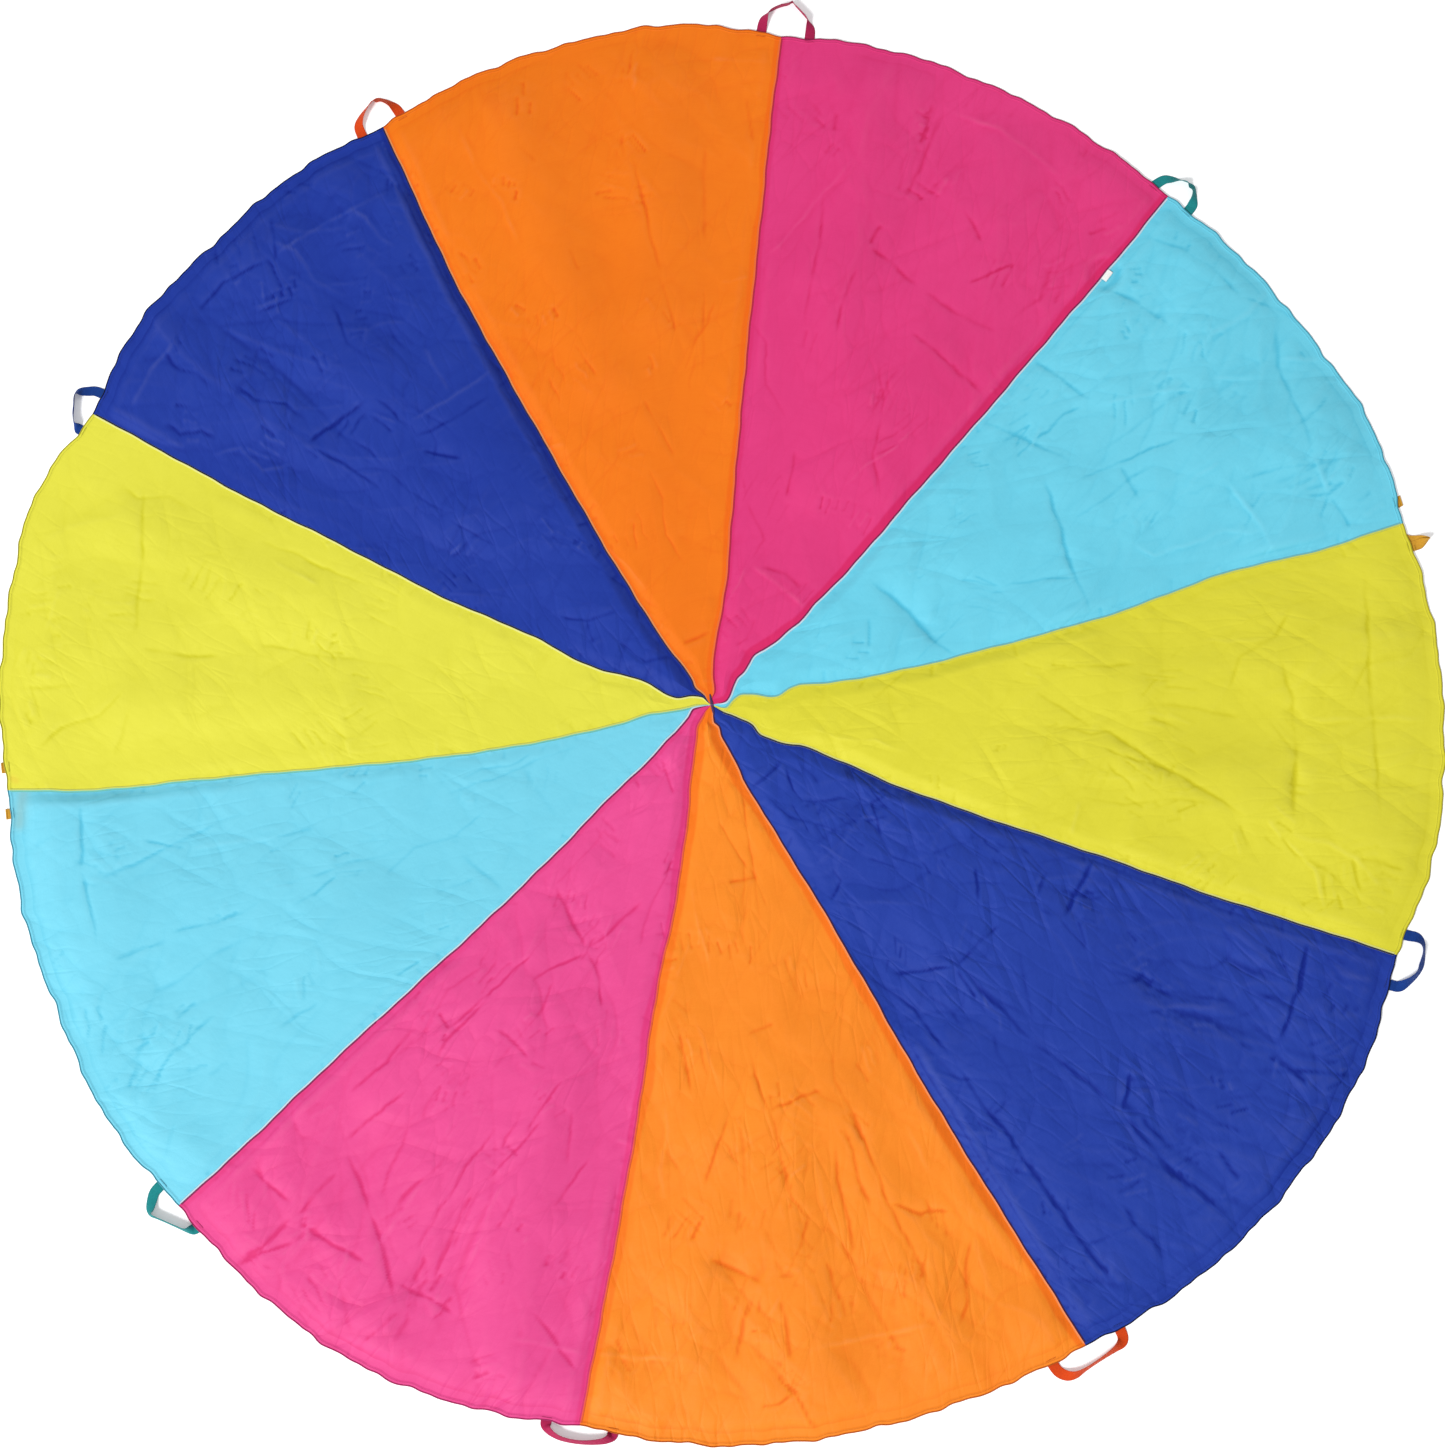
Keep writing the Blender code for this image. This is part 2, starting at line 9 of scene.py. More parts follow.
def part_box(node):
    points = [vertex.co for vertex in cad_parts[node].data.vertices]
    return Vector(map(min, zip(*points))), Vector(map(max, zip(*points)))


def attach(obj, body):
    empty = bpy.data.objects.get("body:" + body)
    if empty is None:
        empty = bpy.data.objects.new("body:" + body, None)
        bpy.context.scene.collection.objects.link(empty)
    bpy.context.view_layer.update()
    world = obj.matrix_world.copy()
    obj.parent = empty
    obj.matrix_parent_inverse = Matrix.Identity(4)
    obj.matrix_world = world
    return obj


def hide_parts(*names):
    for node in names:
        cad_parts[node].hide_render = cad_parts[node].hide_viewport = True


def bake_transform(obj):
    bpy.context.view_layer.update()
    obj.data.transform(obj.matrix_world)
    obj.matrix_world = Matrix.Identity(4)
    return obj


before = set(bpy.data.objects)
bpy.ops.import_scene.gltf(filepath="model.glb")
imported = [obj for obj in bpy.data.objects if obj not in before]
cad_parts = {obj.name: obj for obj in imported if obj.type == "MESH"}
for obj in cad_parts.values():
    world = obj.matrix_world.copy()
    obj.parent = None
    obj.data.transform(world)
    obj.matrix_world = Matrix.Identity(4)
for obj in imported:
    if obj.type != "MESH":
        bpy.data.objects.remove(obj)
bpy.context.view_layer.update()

print("frame loaded,", len(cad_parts), "nodes")

shot = {
    "width": 1445,
    "height": 1449,
    "aim": (0.0219, -0.0415, 0.0),
    "distance": 5.0,
    "tilt": 10.21,  # degrees off the vertical
    "azimuth": -78.93,  # the side the camera leans to, from +X
    "focal": 2399.6,  # in pixels of the photograph
    "sensor": 36.0,
}


def makeCamera():
    tilt, azimuth = math.radians(shot["tilt"]), math.radians(shot["azimuth"])
    back = Vector((math.sin(tilt) * math.cos(azimuth), math.sin(tilt) * math.sin(azimuth), math.cos(tilt)))
    data = bpy.data.cameras.new("camera")
    data.sensor_fit = "HORIZONTAL"
    data.sensor_width = shot["sensor"]
    data.lens = shot["focal"] / shot["width"] * shot["sensor"]
    made = bpy.data.objects.new("camera", data)
    bpy.context.scene.collection.objects.link(made)
    right = Vector((0, 1, 0)).cross(back).normalized()
    turn = Matrix((right, back.cross(right), back)).transposed()
    made.matrix_world = Matrix.Translation(Vector(shot["aim"]) + back * shot["distance"]) @ turn.to_4x4()
    bpy.context.scene.camera = made
    return made


camera = makeCamera()


def floorPoint(px, py):  # the place on the floor under a pixel of the photograph
    place = camera.matrix_world.translation
    ray = camera.matrix_world.to_3x3() @ Vector((
        (px - shot["width"] / 2) / shot["focal"],
        (shot["height"] / 2 - py) / shot["focal"],
        -1,
    ))
    spot = place - ray * (place.z / ray.z)
    return spot.x, spot.y


def floorSpots(pixels):
    return [floorPoint(*pixel) for pixel in zip(pixels[::2], pixels[1::2])]


studio = {
    "dim": 0.80,
    "floorSize": 60.0,
    "floorColour": (0.93, 0.93, 0.935),
    "floorRoughness": 0.9,
    "floorGlow": (0.96, 0.97, 1.0),
    "glowStrength": 0.22,
    "skyColour": (1.0, 1.0, 1.0),
    "skyStrength": 0.42,
    "keyPlace": (-8.2, -8.5, 12.0),
    "keySize": 4.5,
    "keyPower": 2950.0,
    "fillPlace": (5.0, 5.5, 8.0),
    "fillSize": 5.0,
    "fillPower": 150.0,
}


def linear(red, green, blue):  # screen colour, 0 to 255, to linear light, with room for the bright lamps
    return tuple(
        studio["dim"] * (c / 255 / 12.92 if c <= 10 else ((c / 255 + 0.055) / 1.055) ** 2.4)
        for c in (red, green, blue)
    )


def scaled(colour, factor):
    return tuple(min(c * factor, 1.0) for c in colour)


def addLight(name, place, size, power):
    data = bpy.data.lights.new(name, "AREA")
    data.shape = "DISK"
    data.size = size
    data.energy = power
    lamp = bpy.data.objects.new(name, data)
    bpy.context.scene.collection.objects.link(lamp)
    lamp.location = place
    lamp.rotation_euler = (-Vector(place)).to_track_quat("-Z", "Y").to_euler()


def makeStudio():
    scene = bpy.context.scene
    scene.view_settings.view_transform = "Standard"
    world = bpy.data.worlds.new("studio")
    scene.world = world
    world.use_nodes = True
    sky = world.node_tree.nodes["Background"]
    setInputs(sky, {"Color": (*studio["skyColour"], 1), "Strength": studio["skyStrength"]})
    addLight("keyLight", studio["keyPlace"], studio["keySize"], studio["keyPower"])
    addLight("fillLight", studio["fillPlace"], studio["fillSize"], studio["fillPower"])
    bm = bmesh.new()
    bmesh.ops.create_grid(bm, x_segments=1, y_segments=1, size=studio["floorSize"] / 2)
    floor = newPiece("floor", bm)
    paint = bpy.data.materials.new("paleFloor")
    paint.use_nodes = True
    setInputs(paint.node_tree.nodes["Principled BSDF"], {
        "Base Color": (*studio["floorColour"], 1),
        "Roughness": studio["floorRoughness"],
        "Specular IOR Level": 0.0,
        "Emission Color": (*studio["floorGlow"], 1),
        "Emission Strength": studio["glowStrength"],
    })
    floor.data.materials.append(paint)


def setInputs(node, values):
    for name, value in values.items():
        node.inputs[name].default_value = value


def newPiece(name, bm):
    mesh = bpy.data.meshes.new(name)
    bm.to_mesh(mesh)
    bm.free()
    mesh.shade_smooth()
    made = bpy.data.objects.new(name, mesh)
    bpy.context.scene.collection.objects.link(made)
    return made


makeStudio()
print("camera, lights and floor ready")

plan = {
    "radius": 1.5,
    "stations": (0.012, 0.02, 0.03, 0.0533, 0.08, 0.1133, 0.1667, 0.2667, 0.4, 0.5667, 0.7333, 0.8667, 1.0),
    "seamAngles": {  # degrees, at the stations
        1: (101, 97, 94.4, 90.9, 89.5, 87.1, 83.8, 84.2, 84.5, 84.5, 84.4, 84.4, 84.2),
        2: (15, 22, 28.9, 44.5, 45.8, 45.3, 44.4, 44.7, 46.2, 47.1, 47.7, 48.0, 48.4),
        3: (-14, -6, 5.0, 14.5, 12.0, 13.0, 10.2, 10.1, 11.3, 12.5, 14.2, 14.1, 14.6),
        4: (-34, -32, -30.3, -27.5, -30.7, -29.2, -24.6, -24.3, -23.1, -21.9, -21.5, -21.0, -20.7),
        5: (-80, -76, -72.2, -70.1, -68.7, -67.3, -65.1, -62.7, -61.7, -61.4, -60.9, -60.5, -60.2),
        6: (-139, -133, -126.0, -112.9, -107.9, -105.0, -102.1, -100.4, -100.8, -100.1, -100.0, -100.1, -100.2),
        7: (-168, -164, -159.3, -151.7, -143.6, -139.0, -138.0, -136.5, -136.0, -136.3, -136.5, -136.4, -136.5),
        8: (-180, -177, -173.7, -173.0, -171.4, -169.5, -168.0, -168.2, -169.4, -171.0, -171.9, -172.3, -173.3),
        9: (-205, -203, -200.6, -191.6, -196.3, -199.3, -197.7, -201.3, -202.2, -203.8, -204.6, -205.3, -205.8),
        10: (-216, -219, -222.3, -229.9, -231.9, -232.6, -234.7, -236.2, -237.6, -238.5, -239.2, -240.1, -240.8),
    },
    "rimShares": {  # at the seam, then a quarter, half and three quarters of the way to the next
        1: (0.996, 1.002, 0.997, 0.992),
        2: (0.985, 0.992, 0.997, 1.007),
        3: (0.996, 1.005, 1.007, 1.007),
        4: (0.989, 1.009, 1.013, 1.009),
        5: (0.995, 0.993, 0.994, 0.993),
        6: (0.983, 0.999, 1.008, 1.002),
        7: (0.992, 1.000, 0.993, 0.995),
        8: (0.988, 1.003, 1.009, 1.015),
        9: (0.985, 1.003, 0.996, 0.998),
        10: (0.985, 1.001, 1.009, 1.015),
    },
    "rimRipples": (  # waves round, size, phase
        (61, 0.0017, 0.4), (104, 0.0014, 1.9), (171, 0.0008, 3.1), (263, 0.0004, 5.0),
    ),
    "seamWavers": ((0.170, 0.0008), (0.067, 0.0004)),  # pitch and size
    "hubSeams": {  # photograph pixels that the seams run through beside the knot, outwards, x and y by turns
        1: (714, 693, 713, 679, 713, 664.5, 715, 646.7, 717.6, 630.7, 720, 620),
        2: (726.5, 702, 732.7, 691, 737, 680.5, 744, 673, 749.6, 664.5, 755, 655.6, 765.7, 649, 778, 641, 789, 631,
            800, 622.7),
        3: (726.5, 708, 731.8, 702, 739, 696, 749.6, 694.7, 764, 696.5, 778, 696.5, 789, 689.4, 800, 685),
        4: (724.7, 712.5, 731.8, 715, 742.5, 719.6, 753, 725, 760, 734, 771, 739, 782, 743, 800, 745.4),
        5: (714, 723, 718.5, 727, 721, 736, 726.5, 746, 733.6, 759, 739, 769.5, 743, 780),
        6: (703, 716, 697, 727, 696, 736, 694.5, 748, 692.7, 762, 690, 780),
        7: (692.7, 709, 688, 717, 678.5, 728.5, 666, 741, 650, 759),
        8: (692.7, 707, 680, 710, 664, 712.5, 650, 714),
        9: (703, 698, 694.5, 696.5, 682, 698, 671, 697, 660.7, 692, 650, 685),
        10: (705, 696, 696, 688.5, 692.7, 681, 688, 673, 680, 662, 673, 654, 662.5, 639.6, 652, 623.6),
    },
    "hubFade": 0.060,
    "rimFade": 0.060,
    "foldBand": 0.045,
}


def smoothStep(value):
    value = np.clip(value, 0, 1)
    return value * value * (3 - 2 * value)


def smoothCurve(stations, values, at):
    s, v = np.asarray(stations, float), np.asarray(values, float)
    low, high = np.maximum(np.arange(len(s)) - 1, 0), np.minimum(np.arange(len(s)) + 1, len(s) - 1)
    slope = (v[high] - v[low]) / (s[high] - s[low])
    at = np.clip(at, s[0], s[-1])
    i = np.clip(np.searchsorted(s, at, side="right") - 1, 0, len(s) - 2)
    step = s[i + 1] - s[i]
    t = (at - s[i]) / step
    start, end, rise = slope[i] * step, slope[i + 1] * step, v[i + 1] - v[i]
    return v[i] + t * (start + t * (3 * rise - 2 * start - end + t * (start + end - 2 * rise)))


def hubBend(seam):  # how far the seam strays from its plain curve beside the knot
    spots = floorSpots(plan["hubSeams"][seam])
    radii = np.array([math.hypot(x, y) for x, y in spots])
    plain = np.radians(smoothCurve(plan["stations"], plan["seamAngles"][seam], radii / plan["radius"]))
    bends = np.array([math.atan2(y, x) for x, y in spots]) - plain
    return radii, (bends + np.pi) % (2 * np.pi) - np.pi


hubBends = {seam: hubBend(seam) for seam in plan["hubSeams"]}


def seamAngle(seam, share):
    out = np.asarray(share, float) * plan["radius"]
    sway = np.zeros_like(out)
    for n, (pitch, size) in enumerate(plan["seamWavers"]):
        sway += size * np.sin(2 * np.pi * out / pitch + 1.7 * seam + 2.3 * n + np.sin(out * 9 + seam))
    radii, bends = hubBends[seam]
    beyond = (out - radii[-1]) / plan["hubFade"]
    sway *= smoothStep(beyond) * smoothStep((plan["radius"] - out) / plan["rimFade"])
    bend = smoothCurve(radii, bends, out) * smoothStep(out / radii[0]) * (1 - smoothStep(beyond))
    base = np.radians(smoothCurve(plan["stations"], plan["seamAngles"][seam], share))
    return base + bend + sway / np.maximum(out, 0.01)


def nextSeam(seam):
    return seam % 10 + 1


def goreBefore(seam):
    return (seam - 2) % 10 + 1


def goreAngles(gore, share):
    first, second = seamAngle(gore, share), seamAngle(nextSeam(gore), share)
    return first, np.where(second > first, second - 2 * np.pi, second)


def rimCurve(gore, across):
    shares = plan["rimShares"][gore] + (plan["rimShares"][nextSeam(gore)][0],)
    return plan["radius"] * smoothCurve((0, 0.25, 0.5, 0.75, 1), shares, across)


def rimRadius(gore, across):
    first, second = goreAngles(gore, 1.0)
    angle = first + across * (second - first)
    radius = rimCurve(gore, across)
    for count, size, phase in plan["rimRipples"]:
        radius = radius + size * np.sin(count * angle + phase + 2 * np.sin(7 * angle + phase))
    return radius


def planPoint(gore, across, share):
    first, second = goreAngles(gore, share)
    angle = first + across * (second - first)
    radius = share * rimRadius(gore, across)
    return radius * np.cos(angle), radius * np.sin(angle)


def goreWidth(gore, share):
    first, second = goreAngles(gore, share)
    return share * plan["radius"] * (first - second)


handles = {
    "width": 0.022,
    "thickness": 0.0012,
    "hingeHeight": 0.0021,
    "hingeReach": 0.008,
    "footOffset": 0.050,
    "reach": 0.050,
    "rootUnder": 0.0005,  # how far under its hinge a tucked end starts
    "bendRadius": 0.0019,  # the roll of webbing where a tucked loop turns back under its sewn end
    "rootShort": 0.003,  # how far short of its hinge the flat of an open one ends
    "sewnLength": 0.022,
    "sag": 0.020,
    "clear": 0.0002,  # over the floor, and between a roll and the end that is sewn on
    "steps": 90,
    "sewnSteps": 14,
    "bendSteps": 9,
    "ribPitch": 0.0021,
    "ribBump": 0.00016,
    "pickPitch": 0.0012,
    "pickBump": 0.00008,
    "selvedge": 0.0014,
    "feet": {
        1: (-0.90, 1.24), 2: (-0.76, 1.08), 3: (-0.96, 1.04), 4: (-0.92, 1.24), 5: (-1.50, 1.50),
        6: (-1.36, 1.36), 7: (-1.16, 1.12), 8: (-1.00, 1.00), 9: (-0.86, 0.98), 10: (-1.00, 0.94),
    },
    "reachShares": {
        1: 1.40, 2: 0.82, 3: 0.68, 4: 0.90, 5: 0.92, 6: 0.56, 7: 1.00, 8: 1.20, 9: 0.92, 10: 1.04,
    },
    # share of the half span, share of the reach, and the turn up on its edge in degrees, 180 being face down
    "routes": {
        1: ((-0.97, 0.34, 30), (-0.80, 0.58, 74), (-0.40, 0.80, 80), (-0.02, 0.92, 77), (0.10, 1.0, 76),
            (0.22, 0.90, 77), (0.52, 0.70, 80), (0.84, 0.46, 76), (0.97, 0.24, 30)),
        2: ((-0.86, 0.38, 10), (-0.58, 0.62, 30), (-0.25, 0.84, 62), (0.08, 1.0, 70), (0.36, 0.98, 42),
            (0.62, 0.84, 60), (0.86, 0.52, 45), (0.97, 0.25, 10)),
        3: ((-0.82, -0.70, 180), (-0.35, -0.90, 180), (0.20, -0.80, 180), (0.66, -0.40, 172), (0.82, 0.20, 168),
            (0.885, 0.62, 122), (0.925, 0.86, 92), (0.965, 0.62, 60), (0.985, 0.30, 14)),
        4: ((-1.04, 0.36, 15), (-0.90, 0.66, 50), (-0.62, 0.82, 66), (-0.10, 0.90, 52), (0.30, 0.84, 62),
            (0.70, 0.56, 45), (0.95, 0.26, 8)),
        5: ((-0.98, 0.22, 4), (-0.90, 0.40, 12), (-0.68, 0.50, 50), (-0.20, 0.60, 68), (0.30, 0.68, 66),
            (0.60, 0.70, 45), (0.80, 0.58, 22), (0.95, 0.30, 6)),
        6: ((-0.95, 0.12, 35), (-0.75, 0.40, 52), (-0.30, 0.66, 62), (0.12, 0.74, 64), (0.52, 0.66, 60),
            (0.80, 0.42, 50), (0.95, 0.15, 35)),
        7: ((-0.85, 0.22, 66), (-0.50, 0.42, 76), (-0.10, 0.62, 77), (0.25, 0.80, 76), (0.46, 0.88, 66),
            (0.62, 0.76, 32), (0.84, 0.46, 8), (0.97, 0.22, 4)),
        8: ((-0.92, -0.50, 180), (-0.62, -0.88, 180), (-0.20, -1.0, 180), (0.20, -1.0, 180),
            (0.62, -0.88, 180), (0.92, -0.50, 180)),
        9: ((-0.95, 0.15, 66), (-0.60, 0.45, 76), (-0.14, 0.68, 77), (0.20, 0.86, 76), (0.41, 0.92, 62),
            (0.58, 0.82, 28), (0.80, 0.50, 8), (0.96, 0.22, 4)),
        10: ((-0.92, 0.34, 20), (-0.62, 0.62, 45), (-0.20, 0.84, 62), (0.16, 0.98, 68), (0.36, 0.96, 42),
             (0.62, 0.80, 50), (0.86, 0.50, 40), (0.97, 0.24, 12)),
    },
    "rootsUnder": {3: (True, False), 8: (True, True)},
    "colours": dict(enumerate(("magenta", "teal", "amber", "blue", "orange") * 2, 1)),
    "looks": {
        "magenta": linear(196, 42, 98),
        "teal": linear(38, 158, 160),
        "amber": linear(232, 176, 60),
        "blue": linear(24, 74, 158),
        "orange": linear(238, 86, 20),
    },
}
farSeams = (9, 10, 1, 2, 3)


def handleFrame(number):  # middle of the hinge, clockwise along the rim, outward, half the span
    feet = []
    for share in handles["feet"][number]:
        offset = share * handles["footOffset"]
        gore = number if offset > 0 else goreBefore(number)
        across = offset / float(goreWidth(gore, 1.0)) + (0 if offset > 0 else 1)
        first, second = goreAngles(gore, 1.0)
        angle = float(first + across * (second - first))
        radius = float(rimCurve(gore, across))
        feet.append(Vector((radius * math.cos(angle), radius * math.sin(angle), 0)))
    along = (feet[1] - feet[0]).normalized()
    outward = Vector((0, 0, 1)).cross(along)
    middle = (feet[0] + feet[1]) / 2 + outward * handles["hingeReach"]
    middle.z = handles["hingeHeight"]
    return middle, along, outward, (feet[1] - feet[0]).length / 2


hinges = {number: handleFrame(number) for number in range(1, 11)}

cloth = {
    "columns": 188,
    "rows": 400,
    "columnPlaces": ((0, 0.06, 0.94, 1), (0, 0.028, 0.972, 1)),  # closer beside the seams and at both ends
    "rowPlaces": ((0, 0.05, 0.93, 1), (0.0016, 0.045, 0.983, 1)),
    "ground": 0.0011,  # lowest the cloth sits, over the floor
    "peaks": (0.015, 0.009),  # from this height the folds round off, and by how much more they rise at most
    "calm": (2, 0.85, 0.022, 0.024, 0.2),  # flatter cloth round the care label: seam, share, radius, fade, what stays
    "foldHeight": 0.012,
    "foldWidth": 0.085,
    "foldClear": 0.060,
    "folds": {  # across and out shares of one end, the same of the other, and a size share
        1: ((0.28, 0.93, 0.36, 0.58, 0.9), (0.62, 0.88, 0.55, 0.50, 1.0), (0.72, 0.60, 0.50, 0.34, 0.6)),
        2: ((0.30, 0.88, 0.45, 0.60, 1.0), (0.68, 0.93, 0.60, 0.70, 0.8), (0.52, 0.52, 0.42, 0.34, 0.6)),
        3: ((0.28, 0.92, 0.34, 0.60, 0.7), (0.72, 0.90, 0.62, 0.60, 0.8)),
        4: ((0.24, 0.48, 0.52, 0.76, 1.0), (0.45, 0.42, 0.72, 0.85, 0.9), (0.82, 0.90, 0.75, 0.50, 0.8)),
        5: ((0.26, 0.92, 0.32, 0.50, 0.8), (0.56, 0.90, 0.50, 0.55, 1.0), (0.80, 0.92, 0.74, 0.60, 0.7)),
        6: ((0.26, 0.90, 0.40, 0.50, 0.9), (0.62, 0.85, 0.50, 0.50, 1.0), (0.80, 0.70, 0.68, 0.42, 0.7)),
        7: ((0.32, 0.85, 0.40, 0.55, 0.8), (0.66, 0.90, 0.58, 0.60, 0.9)),
        8: ((0.24, 0.82, 0.32, 0.52, 0.7), (0.76, 0.86, 0.68, 0.55, 0.8)),
        9: ((0.30, 0.76, 0.40, 0.45, 0.8), (0.60, 0.92, 0.55, 0.62, 0.9), (0.78, 0.62, 0.68, 0.40, 0.7)),
        10: ((0.30, 0.92, 0.36, 0.50, 0.8), (0.70, 0.90, 0.62, 0.58, 1.0)),
    },
    "footLift": 0.0030,
    "footHalfWidth": 0.125,
    "footDepth": 0.095,
    "footFade": 0.080,
    "swells": ((2.2, 0.0040), (5.5, 0.0018), (13.0, 0.0008)),  # waves a metre, height
    "facets": ((0.260, 0.0125), (0.110, 0.0068), (0.046, 0.0023)),  # size, height
    "warp": 0.42,  # how far the facets' edges stray, in their own size
    "puff": 0.0060,
    "seamFlat": 0.035,  # how far from a seam, and from the rim, the facets reach their full height
    "rimFlat": 0.050,
    "rimRelief": (0.35, 0.09),  # share of the relief that is left at the rim, and how far in it is whole
    "crumple": {1: 0.65, 2: 0.95, 3: 0.65, 4: 1.5, 5: 0.95, 6: 1.2, 7: 0.7, 8: 0.45, 9: 1.0, 10: 0.45},
    "bundles": 30,  # groups of small creases side by side in one gore
    "longCreases": 12,
    "wander": ((81, 9.0, 0.0050), (83, 27.0, 0.0026), (85, 70.0, 0.0009)),  # seed, waves a metre, size
    "hollowReach": 2,  # mesh steps
    "hollowDepth": 0.0007,
    "hemWidth": 0.008,
    "hemHeight": 0.0007,
    "hemEdge": 0.0015,
    "hemStitch": {"Row": 0.0062, "Pitch": 0.0032, "Width": 0.0011, "Length": 0.72},
    "threads": 780.0,
    "bumps": {"weave": 0.00004, "coarse": 0.015, "fine": 0.0060, "soft": 0.0012, "stitches": 0.0003},
    "gloss": {4: 0.10, 9: 0.10},
    "under": {  # the strap tucked below shows through: gore, pixels along it, half width, depth, colour
        7: ((24, 792), (20, 824), 0.015, 0.42, linear(150, 178, 166)),
        8: ((13, 779), (17, 781), 0.007, 0.35, linear(236, 190, 66)),
    },
    # each gore's own colour; the differences within each pair of the same cloth are painted shade, the gore farther
    # from the lower left set darker as the light falls off
    "colours": {
        1: linear(230, 60, 130), 2: linear(114, 214, 238), 3: linear(227, 220, 60), 4: linear(38, 66, 165),
        5: linear(252, 142, 34), 6: linear(236, 78, 149), 7: linear(122, 214, 237), 8: linear(230, 226, 72),
        9: linear(35, 62, 162), 10: linear(249, 126, 16),
    },
    "slots": dict(enumerate(("pink", "light_blue", "yellow", "royal_blue", "orange") * 2, 1)),
    "halves": {3: ("_far", "_near"), 8: ("_far", "_near")},  # the gores that lie across the fold are two solids
    "bandEdge": 0.007,
    # the double cloth that shows through beside a seam: gore, side (0 first seam, 1 second), width, depth
    "bands": {
        1: ((0, 0.010, 0.5), (1, 0.017, 0.9)), 4: ((0, 0.010, 0.4),), 5: ((0, 0.020, 0.9), (1, 0.017, 0.8)),
        6: ((0, 0.013, 0.75), (1, 0.010, 0.5)), 9: ((1, 0.012, 0.6),), 10: ((0, 0.010, 0.5), (1, 0.012, 0.6)),
    },
}

